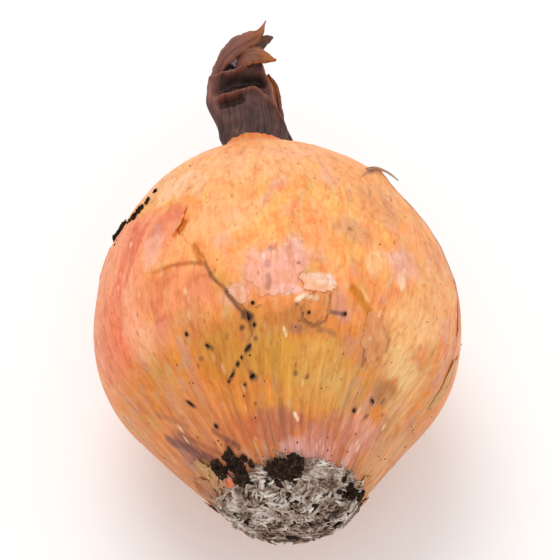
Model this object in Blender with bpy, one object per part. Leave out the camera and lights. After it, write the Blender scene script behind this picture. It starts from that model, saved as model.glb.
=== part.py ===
"""A bulb onion lying on its side: bulb, torn papery skins, dried neck, root crown and bits of soil.

World frame, in metres: +Z up, +Y along the bulb from roots to neck, and the origin on the small
flat rest spot under the bulb. A station is a distance along the bulb's axis from its widest
circle, positive towards the neck. A longitude is an angle round that axis in degrees: 0 faces up,
90 faces +X and 180 faces the table.
"""
import math

import bmesh
import bpy
from mathutils import Vector, noise

MM = 0.001

# Bulb
BULB_RADIUS = 37.5 * MM
REST_SPOT_DEPTH = 0.55 * MM
AXIS_HEIGHT = BULB_RADIUS - REST_SPOT_DEPTH
SHOULDER_LENGTH = 41.0 * MM
SHOULDER_END = 0.995
BELLY_ARC_RADIUS = 28.5 * MM
CONE_SLOPE = 0.87
ROOT_END = -38.6 * MM
NECK_STUB_RADIUS = 6.8 * MM
NECK_STUB_END = 43.6 * MM
STUB_BLEND = 1.2 * MM
SHOULDER_LEAN = -1.6
ROOT_LEAN = 6.4
ROOT_LEAN_START = -20.0 * MM
BULB_SEGMENTS = 56
BELLY_STEPS = 8
CONE_STEPS = 6
SHOULDER_STEPS = 16
STUB_STEPS = 3

# Papery skins
PIECE_GAP = 0.35 * MM
SKIN_THICKNESS = 0.45 * MM
FLAP_LIFT = 2.6 * MM

# Dried neck
NECK_SIDES = 20
LEAF_SIDES = 10
NECK_THICKNESS = 3.1 * MM
LEAF_THICKNESS = 0.8 * MM

# Root crown and soil
CROWN_RADIUS = 12.6 * MM
CROWN_HEIGHT = 5.2 * MM
CROWN_LUMPS = 1.1 * MM
SOIL_LUMPS = 0.55


def clear_scene():
    for item in list(bpy.data.objects):
        bpy.data.objects.remove(item, do_unlink=True)


def make_material(name, color, roughness):
    material = bpy.data.materials.new(name)
    material.use_nodes = True
    shader = material.node_tree.nodes["Principled BSDF"]
    shader.inputs["Base Color"].default_value = (*color, 1.0)
    shader.inputs["Roughness"].default_value = roughness
    return material


def dry_skin_material():
    return make_material("dry_onion_skin", (0.78, 0.36, 0.13), 0.4)


def red_skin_material():
    return make_material("red_onion_skin", (0.85, 0.25, 0.1), 0.4)


def dead_leaf_material():
    return make_material("dead_leaf", (0.1, 0.045, 0.03), 0.55)


def leaf_tip_material():
    return make_material("amber_leaf_tip", (0.35, 0.14, 0.05), 0.5)


def root_material():
    return make_material("dried_root", (0.5, 0.42, 0.36), 0.9)


def soil_material():
    return make_material("dried_soil", (0.02, 0.015, 0.01), 0.95)


def face_outward(bm):
    """Turn the faces of a closed body to point out of it."""
    bmesh.ops.recalc_face_normals(bm, faces=bm.faces)
    if bm.calc_volume(signed=True) < 0.0:
        bmesh.ops.reverse_faces(bm, faces=bm.faces)


def add_object(name, bm, material):
    mesh = bpy.data.meshes.new(name)
    bm.to_mesh(mesh)
    bm.free()
    mesh.shade_smooth()
    mesh.set_sharp_from_angle(angle=math.radians(50.0))
    mesh.materials.append(material)
    item = bpy.data.objects.new(name, mesh)
    bpy.context.scene.collection.objects.link(item)
    return item


def interpolate(points, position):
    """Read a piecewise smooth curve through (position, value) points."""
    if position <= points[0][0]:
        return points[0][1]
    for start, end in zip(points, points[1:]):
        if position <= end[0]:
            part = (position - start[0]) / (end[0] - start[0])
            part = part * part * (3.0 - 2.0 * part)
            return start[1] + (end[1] - start[1]) * part
    return points[-1][1]


# --- Bulb surface ---------------------------------------------------------------------------


def belly_end():
    """Station where the round belly turns into the straight cone towards the roots."""
    return -BELLY_ARC_RADIUS * CONE_SLOPE / math.hypot(1.0, CONE_SLOPE)


def belly_radius(station):
    return BULB_RADIUS - BELLY_ARC_RADIUS + math.sqrt(BELLY_ARC_RADIUS ** 2 - station ** 2)


def bulb_radius(station):
    """Radius of the bulb: a cone, a circular arc, a quarter ellipse and a short neck stub."""
    if station < belly_end():
        return belly_radius(belly_end()) + (station - belly_end()) * CONE_SLOPE
    if station < 0.0:
        return belly_radius(station)
    ellipse = BULB_RADIUS * math.sqrt(max(0.0, 1.0 - (station / SHOULDER_LENGTH) ** 2))
    spread = ellipse - NECK_STUB_RADIUS
    return 0.5 * (ellipse + NECK_STUB_RADIUS + math.hypot(spread, STUB_BLEND))


def axis_lean(station):
    """How far the bulb's centre line strays sideways, towards -X at the neck and +X at the roots."""
    if station > 0.0:
        return SHOULDER_LEAN * station ** 2
    return ROOT_LEAN * min(0.0, station - ROOT_LEAN_START) ** 2


def bulb_point(longitude, station, lift=0.0):
    """A point of the bulb's surface, moved out along the surface normal by lift."""
    step = 0.05 * MM
    slope = (bulb_radius(station + step) - bulb_radius(station - step)) / (2.0 * step)
    length = math.hypot(1.0, slope)
    radius = bulb_radius(station) + lift / length
    angle = math.radians(longitude)
    return Vector((
        axis_lean(station) + radius * math.sin(angle),
        station - lift * slope / length,
        AXIS_HEIGHT + radius * math.cos(angle),
    ))


def bulb_stations():
    stations = []
    for step in range(CONE_STEPS):
        stations.append(ROOT_END + (belly_end() - ROOT_END) * step / CONE_STEPS)
    for step in range(BELLY_STEPS):
        stations.append(belly_end() * math.cos(0.5 * math.pi * step / BELLY_STEPS))
    for step in range(SHOULDER_STEPS + 1):
        stations.append(SHOULDER_LENGTH * SHOULDER_END * math.sin(0.5 * math.pi * step / SHOULDER_STEPS))
    for step in range(1, STUB_STEPS + 1):
        start = SHOULDER_LENGTH * SHOULDER_END
        stations.append(start + (NECK_STUB_END - start) * step / STUB_STEPS)
    return stations


def build_bulb():
    """The fleshy bulb with its tight inner skin: one body of revolution with a flat rest spot."""
    bm = bmesh.new()
    outline = [bm.verts.new((0.0, station, bulb_radius(station))) for station in bulb_stations()]
    edges = [bm.edges.new(pair) for pair in zip(outline, outline[1:])]
    bmesh.ops.spin(bm, geom=outline + edges, cent=(0, 0, 0), axis=(0, 1, 0), angle=math.tau,
                   steps=BULB_SEGMENTS, use_merge=True)
    ends = [edge for edge in bm.edges if edge.is_boundary]
    bmesh.ops.edgeloop_fill(bm, edges=ends)
    for vertex in bm.verts:
        vertex.co.x += axis_lean(vertex.co.y)
        vertex.co.z += AXIS_HEIGHT
    cut = bmesh.ops.bisect_plane(bm, geom=bm.verts[:] + bm.edges[:] + bm.faces[:], dist=1e-6,
                                 plane_co=(0, 0, 0), plane_no=(0, 0, -1), clear_outer=True)
    rim = [edge for edge in cut["geom_cut"] if isinstance(edge, bmesh.types.BMEdge)]
    bmesh.ops.edgeloop_fill(bm, edges=rim)
    face_outward(bm)
    return add_object("bulb", bm, dry_skin_material())


# --- Papery skins ---------------------------------------------------------------------------


def build_skin(name, columns, rows, place, material):
    """A thin sheet: place turns (across, along), each 0 to 1, into a point of its inner side."""
    bm = bmesh.new()
    bmesh.ops.create_grid(bm, x_segments=columns, y_segments=rows, size=0.5)
    for vertex in bm.verts:
        vertex.co = place(vertex.co.x + 0.5, vertex.co.y + 0.5)
    item = add_object(name, bm, material)
    solidify = item.modifiers.new("Solidify", "SOLIDIFY")
    solidify.thickness = SKIN_THICKNESS
    solidify.offset = 1.0
    return item


def build_left_skin():
    """The red outer skin on the -X side, torn along its upper edge and down its front edge."""
    upper_edge = [(-128.0, 20.0), (-100.0, 14.0), (-80.0, 9.0), (-64.0, 13.5), (-52.0, 15.0), (-36.0, 12.7),
                  (-28.0, 10.5)]
    front_edge = [(-30.0, -33.0), (-24.0, -30.0), (-18.0, -12.0), (-14.0, -10.0), (-7.0, -20.0), (-3.5, -23.0),
                  (0.5, -27.0), (4.5, -30.0), (11.0, -28.0)]
    lower_station = -30.0
    back_longitude = -128.0

    def place(across, along):
        guess = back_longitude + (-28.0 - back_longitude) * across
        top = interpolate(upper_edge, guess)
        station = lower_station + (top - lower_station) * along
        front = interpolate(front_edge, station)
        longitude = back_longitude + (front - back_longitude) * across
        return bulb_point(longitude, station * MM, PIECE_GAP)

    return build_skin("torn_skin_left", 24, 18, place, red_skin_material())


def build_right_flap():
    """A loose flap of skin on the +X shoulder whose upper corner has curled up."""
    corner_longitude = 44.0

    def place(across, along):
        longitude = 27.0 + 51.0 * across
        top = 24.5 - 0.004 * (longitude - corner_longitude) ** 2
        station = 9.0 + (top - 9.0) * along
        near_corner = max(0.0, 1.0 - abs(longitude - corner_longitude) / 12.0)
        lift = PIECE_GAP + FLAP_LIFT * near_corner * max(0.0, along - 0.6) ** 2 / 0.16
        return bulb_point(longitude, station * MM, lift)

    return build_skin("skin_flap_right", 17, 10, place, dry_skin_material())


def neck_section(station):
    """Centre x, centre z, half width and half thickness of the dried neck, in metres."""
    millimetres = station / MM
    centre_x = interpolate([(44.0, -3.2), (52.0, -6.0), (60.0, -8.2), (67.0, -7.9), (76.0, -2.8)], millimetres)
    centre_z = 0.0 + 0.17 * (millimetres - 44.0)
    width = interpolate([(44.0, 6.4), (50.0, 7.4), (58.0, 7.4), (66.0, 6.0), (71.0, 4.2), (76.0, 1.4)], millimetres)
    return centre_x * MM, AXIS_HEIGHT + centre_z * MM, width * MM


def build_collar_skin():
    """The ragged top of the skin, wrapped round the foot of the neck and highest in front."""
    lower_end = 37.0 * MM
    stub_clear = NECK_STUB_END + 0.4 * MM

    def place(across, along):
        longitude = 360.0 * across
        angle = math.radians(longitude)
        front = 0.5 + 0.5 * math.cos(angle)
        top = (45.2 + 2.0 * front ** 2 + 0.35 * math.sin(7.0 * angle)) * MM
        station = lower_end + (top - lower_end) * along
        if station < stub_clear:
            return bulb_point(longitude, station, PIECE_GAP)
        centre_x, centre_z, half_width = neck_section(station)
        foot = bulb_point(longitude, stub_clear, PIECE_GAP)
        wrap = Vector((
            centre_x + (half_width + 0.7 * MM) * math.sin(angle),
            station,
            centre_z + (NECK_THICKNESS + 1.2 * MM) * math.cos(angle),
        ))
        part = min(1.0, (station - stub_clear) / (2.2 * MM))
        point = foot.lerp(wrap, part)
        point.y = station
        return point

    bm = bmesh.new()
    bmesh.ops.create_grid(bm, x_segments=40, y_segments=9, size=0.5)
    for vertex in bm.verts:
        vertex.co = place(vertex.co.x + 0.5, vertex.co.y + 0.5)
    bmesh.ops.remove_doubles(bm, verts=bm.verts, dist=0.001 * MM)
    item = add_object("collar_skin", bm, dry_skin_material())
    solidify = item.modifiers.new("Solidify", "SOLIDIFY")
    solidify.thickness = SKIN_THICKNESS
    solidify.offset = 1.0
    return item


# --- Dried neck -----------------------------------------------------------------------------


def build_tapered_body(name, sections, sides, material):
    """A closed body through flat elliptical sections: (centre, half width, half thickness, turn)."""
    bm = bmesh.new()
    rings = []
    for centre, half_width, half_thickness, turn in sections:
        ring = bmesh.ops.create_circle(bm, cap_ends=False, segments=sides, radius=1.0)["verts"]
        for vertex in ring:
            across = vertex.co.x * half_width
            up = vertex.co.y * half_thickness
            vertex.co = centre + Vector((across * math.cos(turn), -across * math.sin(turn), up))
        rings.append(ring)
    for lower, upper in zip(rings, rings[1:]):
        near = {edge for vertex in lower for edge in vertex.link_edges if edge.other_vert(vertex) in lower}
        far = {edge for vertex in upper for edge in vertex.link_edges if edge.other_vert(vertex) in upper}
        bmesh.ops.bridge_loops(bm, edges=list(near | far))
    bmesh.ops.holes_fill(bm, edges=[edge for edge in bm.edges if edge.is_boundary], sides=0)
    face_outward(bm)
    return add_object(name, bm, material)


def build_neck_sheath():
    """The flat, dark sheath of dead leaf bases that closes the bulb and bends towards -X."""
    first, last, steps = 44.3 * MM, 69.5 * MM, 12
    sections = []
    for step in range(steps + 1):
        station = first + (last - first) * step / steps
        centre_x, centre_z, half_width = neck_section(station)
        pinch = 1.0 - 0.14 * math.cos(math.tau * step / 4.0)
        centre = Vector((centre_x, station, centre_z))
        sections.append((centre, half_width, NECK_THICKNESS * pinch * (1.0 - 0.3 * step / steps), 0.0))
    return build_tapered_body("neck_sheath", sections, NECK_SIDES, dead_leaf_material())


def build_leaf_tip(name, path, half_width, turn):
    """A pointed end of a torn leaf along a path of (x, station, height above the axis) in mm."""
    sections = []
    for number, (x, station, height) in enumerate(path):
        narrowing = 1.0 - 0.88 * number / (len(path) - 1)
        centre = Vector((x * MM, station * MM, AXIS_HEIGHT + height * MM))
        sections.append((centre, half_width * narrowing, LEAF_THICKNESS * (0.4 + 0.6 * narrowing), turn))
    return build_tapered_body(name, sections, LEAF_SIDES, leaf_tip_material())


def build_leaf_tips():
    """The three torn leaf ends above the sheath: two carry on upwards, the lower points to +X."""
    build_leaf_tip("leaf_tip_upper", [(-6.8, 70.2, 4.4), (-5.2, 72.6, 5.0), (-3.9, 74.8, 5.4), (-2.9, 77.0, 5.8)],
                   2.6 * MM, 0.3)
    build_leaf_tip("leaf_tip_middle", [(-4.0, 70.3, 6.6), (-3.0, 71.4, 6.8), (-2.1, 72.6, 7.0), (-1.0, 73.8, 7.0)],
                   1.7 * MM, 0.7)
    build_leaf_tip("leaf_tip_lower", [(-6.4, 65.2, 7.3), (-4.2, 66.2, 7.5), (-1.8, 67.2, 7.6), (0.6, 67.8, 7.4)],
                   3.0 * MM, 1.1)


def build_back_leaf():
    """The thin amber leaf that shows behind the sheath along its +X edge."""

    def place(across, along):
        station = (47.6 + 17.0 * along) * MM
        centre_x, centre_z, half_width = neck_section(station)
        bend = math.radians(100.0 + 50.0 * across)
        return Vector((
            centre_x + (half_width + 0.5 * MM) * math.sin(bend),
            station,
            centre_z + (NECK_THICKNESS + 0.9 * MM) * math.cos(bend),
        ))

    return build_skin("leaf_edge_back", 6, 12, place, leaf_tip_material())


# --- Roots and soil -------------------------------------------------------------------------


def build_lump(name, centre, outward, radii, roughness, seed, material):
    """A lumpy clod: an icosphere flattened along outward, with a flat inner side."""
    bm = bmesh.new()
    bmesh.ops.create_icosphere(bm, subdivisions=3, radius=1.0)
    for vertex in bm.verts:
        bump = noise.noise(vertex.co * 1.7 + Vector((seed, 2.0 * seed, 0.0)))
        vertex.co *= 1.0 + roughness * bump
    bmesh.ops.bisect_plane(bm, geom=bm.verts[:] + bm.edges[:] + bm.faces[:], dist=1e-4,
                           plane_co=(0, 0, 0), plane_no=(0, 0, -1), clear_outer=True)
    bmesh.ops.holes_fill(bm, edges=[edge for edge in bm.edges if edge.is_boundary], sides=0)
    turn = Vector((0, 0, 1)).rotation_difference(outward)
    for vertex in bm.verts:
        scaled = Vector((vertex.co.x * radii[0], vertex.co.y * radii[1], vertex.co.z * radii[2]))
        vertex.co = centre + turn @ scaled
    face_outward(bm)
    return add_object(name, bm, material)


def build_root_crown():
    """The flat crown of dried, matted roots on the bulb's root end."""
    centre = Vector((axis_lean(ROOT_END), ROOT_END - PIECE_GAP, AXIS_HEIGHT))
    build_lump("root_crown", centre, Vector((0, -1, 0)), (CROWN_RADIUS, CROWN_RADIUS, CROWN_HEIGHT),
               CROWN_LUMPS / CROWN_RADIUS * 1.6, 3.1, root_material())


def build_soil_clod(name, longitude, station, radii, lift, seed):
    inner = bulb_point(longitude, station * MM, lift)
    outer = bulb_point(longitude, station * MM, lift + MM)
    sizes = tuple(radius * MM for radius in radii)
    build_lump(name, inner, (outer - inner).normalized(), sizes, SOIL_LUMPS, seed, soil_material())


def build_soil():
    """Black soil dried on the -X shoulder and round the root crown."""
    build_soil_clod("soil_shoulder", -58.0, 19.0, (2.2, 2.6, 1.1), 0.5 * MM, 1.3)
    build_soil_clod("soil_root_left", -44.0, -35.3, (1.9, 2.3, 1.3), 0.5 * MM, 4.2)
    build_soil_clod("soil_root_middle", -4.0, -35.5, (2.4, 2.2, 1.4), 0.5 * MM, 6.4)
    build_soil_clod("soil_root_right", 66.0, -36.2, (1.4, 1.9, 1.1), 0.5 * MM, 8.8)


def main():
    clear_scene()
    build_bulb()
    build_left_skin()
    build_right_flap()
    build_collar_skin()
    build_neck_sheath()
    build_back_leaf()
    build_leaf_tips()
    build_root_crown()
    build_soil()


main()
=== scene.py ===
"""The looks of a bulb onion that lies on its side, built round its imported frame.

Lengths are in millimetres until a piece is finished, when they become metres. A station is a
distance along the bulb's axis from its widest circle, positive towards the neck. A longitude is
an angle in degrees round that axis: 0 faces up, 90 faces +X and 180 faces the table.
"""

import math
import random

import bmesh
import bpy
import numpy as np
from bpy.props import FloatProperty, FloatVectorProperty, IntProperty, PointerProperty
from mathutils import Matrix, Vector, noise


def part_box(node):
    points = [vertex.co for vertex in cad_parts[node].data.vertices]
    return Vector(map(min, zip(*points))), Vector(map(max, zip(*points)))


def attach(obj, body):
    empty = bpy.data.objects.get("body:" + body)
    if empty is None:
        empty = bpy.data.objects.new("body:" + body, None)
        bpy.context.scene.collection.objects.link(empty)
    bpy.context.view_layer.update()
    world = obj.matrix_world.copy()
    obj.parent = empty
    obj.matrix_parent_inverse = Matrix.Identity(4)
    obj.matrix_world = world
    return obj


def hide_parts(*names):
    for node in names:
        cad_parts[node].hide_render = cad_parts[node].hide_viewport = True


bl_info = {
    "name": "Lying Bulb Onion",
    "version": (1, 0, 0),
    "blender": (4, 5, 0),
    "location": "3D View > Sidebar > Onion",
    "description": "Builds the skins, neck, roots and soil of a bulb onion round its frame",
    "category": "Add Mesh",
}

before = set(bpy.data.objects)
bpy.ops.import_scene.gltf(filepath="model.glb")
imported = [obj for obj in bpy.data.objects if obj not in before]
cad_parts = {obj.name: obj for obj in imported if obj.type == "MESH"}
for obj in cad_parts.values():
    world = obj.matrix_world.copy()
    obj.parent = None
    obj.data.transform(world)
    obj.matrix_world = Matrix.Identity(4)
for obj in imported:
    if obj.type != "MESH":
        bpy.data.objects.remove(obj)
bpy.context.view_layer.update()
BULB_LOW, BULB_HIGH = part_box("bulb")

MM = 0.001
RADIUS = (BULB_HIGH.x - BULB_LOW.x) / 2.0 / MM
AXIS_HEIGHT = BULB_HIGH.z / MM - RADIUS
ROOT_END = BULB_LOW.y / MM
SHOULDER_LENGTH = 41.0
BELLY_ARC_RADIUS = 28.5
CONE_SLOPE = 0.87
BELLY_END = -BELLY_ARC_RADIUS * CONE_SLOPE / math.hypot(1.0, CONE_SLOPE)
STUB_RADIUS = 6.6
STUB_END = 43.4
STUB_BLEND = 3.4
STUB_BLEND_START = 30.0
SKIN_THICKNESS = 0.12
FLAKE_THICKNESS = 0.07
LEAF_THICKNESS = 0.22


# --- Colours and materials ------------------------------------------------------------------


def hex_color(text):
    """Linear colour of an sRGB hex value such as #FFB46E."""
    channels = [int(text[start:start + 2], 16) / 255.0 for start in (1, 3, 5)]
    return tuple(c / 12.92 if c <= 0.04045 else ((c + 0.055) / 1.055) ** 2.4 for c in channels)


def add_node(tree, kind, inputs=None, stops=(), **settings):
    """Add a node: inputs maps sockets to constants or output sockets, stops fill a Color Ramp."""
    node = tree.nodes.new(kind)
    for name, value in settings.items():
        setattr(node, name, value)
    for name, value in (inputs or {}).items():
        if isinstance(value, bpy.types.NodeSocket):
            tree.links.new(value, node.inputs[name])
        else:
            node.inputs[name].default_value = value
    for number, (position, color) in enumerate(stops):
        elements = node.color_ramp.elements
        element = elements[number] if number < 2 else elements.new(position)
        element.position = position
        element.color = (*color, 1.0)
    return node


def grey(level):
    return (level, level, level)


def new_material(name):
    material = bpy.data.materials.new(name)
    material.use_nodes = True
    tree = material.node_tree
    return material, tree, tree.nodes["Principled BSDF"]


def per_mm(size):
    """Texture scale that makes a pattern's cells size millimetres across in object space."""
    return 1.0 / (size * MM)


def papery_skin_material():
    """Dry onion scale leaf: satin, blotched, with broken fibres from root to neck and brown flecks."""
    material, tree, shader = new_material("dry_onion_scale")
    tint = add_node(tree, "ShaderNodeAttribute", attribute_name="tint")
    grain = add_node(tree, "ShaderNodeAttribute", attribute_name="grain")
    color = tint.outputs["Color"]
    # Each layer: width and length of its cells in mm, detail, distortion, dark and pale factor, amount.
    layers = ((5.5, 9.0, 4.0, 1.2, (0.88, 0.74, 0.62), (1.04, 1.12, 1.22), 0.8),
              (1.5, 2.8, 4.0, 1.0, (0.86, 0.70, 0.54), (1.05, 1.18, 1.36), 0.75),
              (0.42, 5.0, 4.0, 0.6, (0.88, 0.77, 0.64), (1.04, 1.10, 1.16), 0.5))
    noises = []
    for width, length, detail, distortion, dark, pale, amount in layers:
        place = add_node(tree, "ShaderNodeMapping", {"Vector": grain.outputs["Vector"],
                                                     "Scale": (1.0 / width, 1.0 / length, 1.0 / width)})
        cells = add_node(tree, "ShaderNodeTexNoise", {"Vector": place.outputs["Vector"], "Scale": 1.0,
                                                      "Detail": detail, "Roughness": 0.62,
                                                      "Distortion": distortion})
        ramp = add_node(tree, "ShaderNodeValToRGB", {"Fac": cells.outputs["Fac"]},
                        [(0.34, dark), (0.49, grey(1.0)), (0.66, pale)])
        color = add_node(tree, "ShaderNodeMix", {0: amount, 6: color, 7: ramp.outputs["Color"]},
                         data_type="RGBA", blend_type="MULTIPLY").outputs[2]
        noises.append(cells.outputs["Fac"])
    # Flecks: cell size across and along in mm, edge of a fleck, where they gather, colour.
    flecks = ((1.5, 2.6, 0.17, (0.50, 0.62), "#A8602E"), (2.3, 3.4, 0.2, (0.46, 0.34), "#FFDDB0"))
    for width, length, edge, (none, full), fleck_color in flecks:
        place = add_node(tree, "ShaderNodeMapping", {"Vector": grain.outputs["Vector"],
                                                     "Scale": (1.0 / width, 1.0 / length, 1.0 / width)})
        cells = add_node(tree, "ShaderNodeTexVoronoi", {"Vector": place.outputs["Vector"], "Scale": 1.0})
        inside = add_node(tree, "ShaderNodeMapRange", {"Value": cells.outputs["Distance"],
                                                       "From Min": edge * 1.6, "From Max": edge * 0.6,
                                                       "To Min": 0.0, "To Max": 0.6})
        gathered = add_node(tree, "ShaderNodeMapRange", {"Value": noises[0], "From Min": none,
                                                         "From Max": full})
        amount = add_node(tree, "ShaderNodeMath", {0: inside.outputs["Result"],
                                                   1: gathered.outputs["Result"]}, operation="MULTIPLY")
        mixed = add_node(tree, "ShaderNodeMix", {0: amount.outputs["Value"], 6: color,
                                                 7: (*hex_color(fleck_color), 1.0)}, data_type="RGBA")
        color = mixed.outputs[2]
    tree.links.new(color, shader.inputs["Base Color"])
    gloss = add_node(tree, "ShaderNodeMapRange", {"Value": noises[1], "From Min": 0.3, "From Max": 0.7,
                                                  "To Min": 0.56, "To Max": 0.38})
    tree.links.new(gloss.outputs["Result"], shader.inputs["Roughness"])
    veins = add_node(tree, "ShaderNodeBump", {"Height": noises[2], "Strength": 0.35, "Distance": 0.12 * MM})
    crinkle = add_node(tree, "ShaderNodeBump", {"Height": noises[1], "Strength": 0.5, "Distance": 0.3 * MM,
                                                "Normal": veins.outputs["Normal"]})
    tree.links.new(crinkle.outputs["Normal"], shader.inputs["Normal"])
    shader.inputs["IOR"].default_value = 1.45
    shader.inputs["Specular IOR Level"].default_value = 0.42
    return material


def dead_leaf_material():
    """Dead, leathery leaf bases: dark brown, ribbed along the leaf, with a dull sheen."""
    material, tree, shader = new_material("dead_leaf_sheath")
    tint = add_node(tree, "ShaderNodeAttribute", attribute_name="tint")
    grain = add_node(tree, "ShaderNodeAttribute", attribute_name="grain")
    color = tint.outputs["Color"]
    for width, length, dark, pale in ((0.45, 7.0, (0.6, 0.52, 0.5), (1.4, 1.3, 1.25)),
                                      (2.2, 3.5, (0.7, 0.62, 0.6), (1.25, 1.2, 1.15))):
        place = add_node(tree, "ShaderNodeMapping", {"Vector": grain.outputs["Vector"],
                                                     "Scale": (1.0 / width, 1.0 / length, 1.0 / width)})
        fibres = add_node(tree, "ShaderNodeTexNoise", {"Vector": place.outputs["Vector"], "Scale": 1.0,
                                                       "Detail": 4.0, "Roughness": 0.6, "Distortion": 0.5})
        ramp = add_node(tree, "ShaderNodeValToRGB", {"Fac": fibres.outputs["Fac"]},
                        [(0.32, dark), (0.5, grey(1.0)), (0.7, pale)])
        color = add_node(tree, "ShaderNodeMix", {0: 0.8, 6: color, 7: ramp.outputs["Color"]},
                         data_type="RGBA", blend_type="MULTIPLY").outputs[2]
    tree.links.new(color, shader.inputs["Base Color"])
    bump = add_node(tree, "ShaderNodeBump", {"Height": fibres.outputs["Fac"], "Strength": 0.4,
                                             "Distance": 0.3 * MM})
    tree.links.new(bump.outputs["Normal"], shader.inputs["Normal"])
    shader.inputs["Roughness"].default_value = 0.5
    shader.inputs["Specular IOR Level"].default_value = 0.28
    return material


def dried_root_material():
    """Dried root fibres: dull, off-white to brown, dusted with soil in patches, with painted shade making
    them darker towards the table.
    """
    material, tree, shader = new_material("dried_root_fibre")
    place = add_node(tree, "ShaderNodeTexCoord")
    clumps = add_node(tree, "ShaderNodeTexNoise", {"Vector": place.outputs["Object"], "Scale": per_mm(3.4),
                                                   "Detail": 5.0, "Roughness": 0.72})
    height = add_node(tree, "ShaderNodeSeparateXYZ", {"Vector": place.outputs["Object"]})
    # Painted shade: darker the lower the fibres lie, towards the table.
    lower = add_node(tree, "ShaderNodeMapRange", {"Value": height.outputs["Z"],
                                                  "From Min": (AXIS_HEIGHT - 13.0) * MM,
                                                  "From Max": (AXIS_HEIGHT + 3.0) * MM,
                                                  "To Min": -0.09, "To Max": 0.0})
    shade = add_node(tree, "ShaderNodeMath", {0: clumps.outputs["Fac"], 1: lower.outputs["Result"]},
                     operation="ADD")
    ramp = add_node(tree, "ShaderNodeValToRGB", {"Fac": shade.outputs["Value"]},
                    [(0.33, hex_color("#261C17")), (0.42, hex_color("#6E5648")), (0.49, hex_color("#A28A7A")),
                     (0.55, hex_color("#B8A89C")), (0.66, hex_color("#DCD2CA"))])
    tree.links.new(ramp.outputs["Color"], shader.inputs["Base Color"])
    bump = add_node(tree, "ShaderNodeBump", {"Height": clumps.outputs["Fac"], "Strength": 0.5,
                                             "Distance": 0.4 * MM})
    tree.links.new(bump.outputs["Normal"], shader.inputs["Normal"])
    shader.inputs["Roughness"].default_value = 0.85
    return material


def dried_soil_material():
    """Dried black soil: matte crumbs with a few paler grains."""
    material, tree, shader = new_material("dried_black_soil")
    place = add_node(tree, "ShaderNodeTexCoord")
    crumbs = add_node(tree, "ShaderNodeTexNoise", {"Vector": place.outputs["Object"], "Scale": per_mm(0.9),
                                                   "Detail": 4.0, "Roughness": 0.7})
    ramp = add_node(tree, "ShaderNodeValToRGB", {"Fac": crumbs.outputs["Fac"]},
                    [(0.40, hex_color("#1A110C")), (0.56, hex_color("#33231A")), (0.70, hex_color("#57452F")),
                     (0.78, hex_color("#8A7A62"))])
    tree.links.new(ramp.outputs["Color"], shader.inputs["Base Color"])
    bump = add_node(tree, "ShaderNodeBump", {"Height": crumbs.outputs["Fac"], "Strength": 0.8,
                                             "Distance": 0.3 * MM})
    tree.links.new(bump.outputs["Normal"], shader.inputs["Normal"])
    shader.inputs["Roughness"].default_value = 0.92
    shader.inputs["Specular IOR Level"].default_value = 0.1
    return material


def shared_material(maker, name):
    return bpy.data.materials.get(name) or maker()


def dry_skin():
    return shared_material(papery_skin_material, "dry_onion_scale")


def dead_leaf():
    return shared_material(dead_leaf_material, "dead_leaf_sheath")


def dried_root():
    return shared_material(dried_root_material, "dried_root_fibre")


def dried_soil():
    return shared_material(dried_soil_material, "dried_black_soil")


# --- Surface of the bulb --------------------------------------------------------------------


def bulb_radius(station):
    """Radius of the bulb: a cone at the roots, an arc, a quarter ellipse and a neck stub."""
    arc = RADIUS - BELLY_ARC_RADIUS
    belly = arc + np.sqrt(np.maximum(BELLY_ARC_RADIUS ** 2 - station ** 2, 0.0))
    belly_end = arc + math.sqrt(BELLY_ARC_RADIUS ** 2 - BELLY_END ** 2)
    cone = belly_end + (station - BELLY_END) * CONE_SLOPE
    ellipse = RADIUS * np.sqrt(np.maximum(1.0 - (station / SHOULDER_LENGTH) ** 2, 0.0))
    upper = 0.5 * (ellipse + STUB_RADIUS + np.hypot(ellipse - STUB_RADIUS, STUB_BLEND))
    share = np.clip(station / STUB_BLEND_START, 0.0, 1.0) ** 2
    upper = np.where(station > STUB_BLEND_START, upper, ellipse + (upper - ellipse) * share)
    return np.where(station < BELLY_END, cone, np.where(station < 0.0, belly, upper))


def axis_lean(station):
    """Sideways stray of the bulb's centre line: towards -X at the neck, +X at the roots."""
    root_side = np.minimum(0.0, station + 20.0)
    return np.where(station > 0.0, -0.0016 * station ** 2, 0.0064 * root_side ** 2)


def surface_points(longitude, station, lift):
    """Points of the bulb's surface in millimetres, moved out along its normal by lift."""
    step = 0.05
    slope = (bulb_radius(station + step) - bulb_radius(station - step)) / (2.0 * step)
    length = np.hypot(1.0, slope)
    radius = bulb_radius(station) + lift / length
    angle = np.radians(longitude)
    x = axis_lean(station) + radius * np.sin(angle)
    y = station - lift * slope / length
    z = AXIS_HEIGHT + radius * np.cos(angle)
    return np.stack([x, y, np.maximum(z, 0.02)], -1)


def wrap_degrees(angle):
    return (angle + 180.0) % 360.0 - 180.0


def smooth_step(value):
    value = np.clip(value, 0.0, 1.0)
    return value * value * (3.0 - 2.0 * value)


def noise_at(points, size, seed):
    """Smooth noise from about -1 to 1 at points, in lumps size millimetres across."""
    scaled = points / size
    return np.array([noise.noise((x + seed, y - seed, z)) for x, y, z in scaled.tolist()])


def meridian_noise(longitude, station, width, length, seed):
    """Noise in streaks that run from root to neck: width across at the belly, length along."""
    angle = np.radians(longitude)
    spread = np.stack([np.sin(angle) * RADIUS / width, station / length, np.cos(angle) * RADIUS / width], -1)
    return noise_at(spread, 1.0, seed)


def along_surface(longitude, station, centre):
    """Offsets in millimetres, across and along, from a (longitude, station) centre."""
    across = np.radians(wrap_degrees(longitude - centre[0])) * bulb_radius(station)
    return across, station - centre[1]


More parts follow.
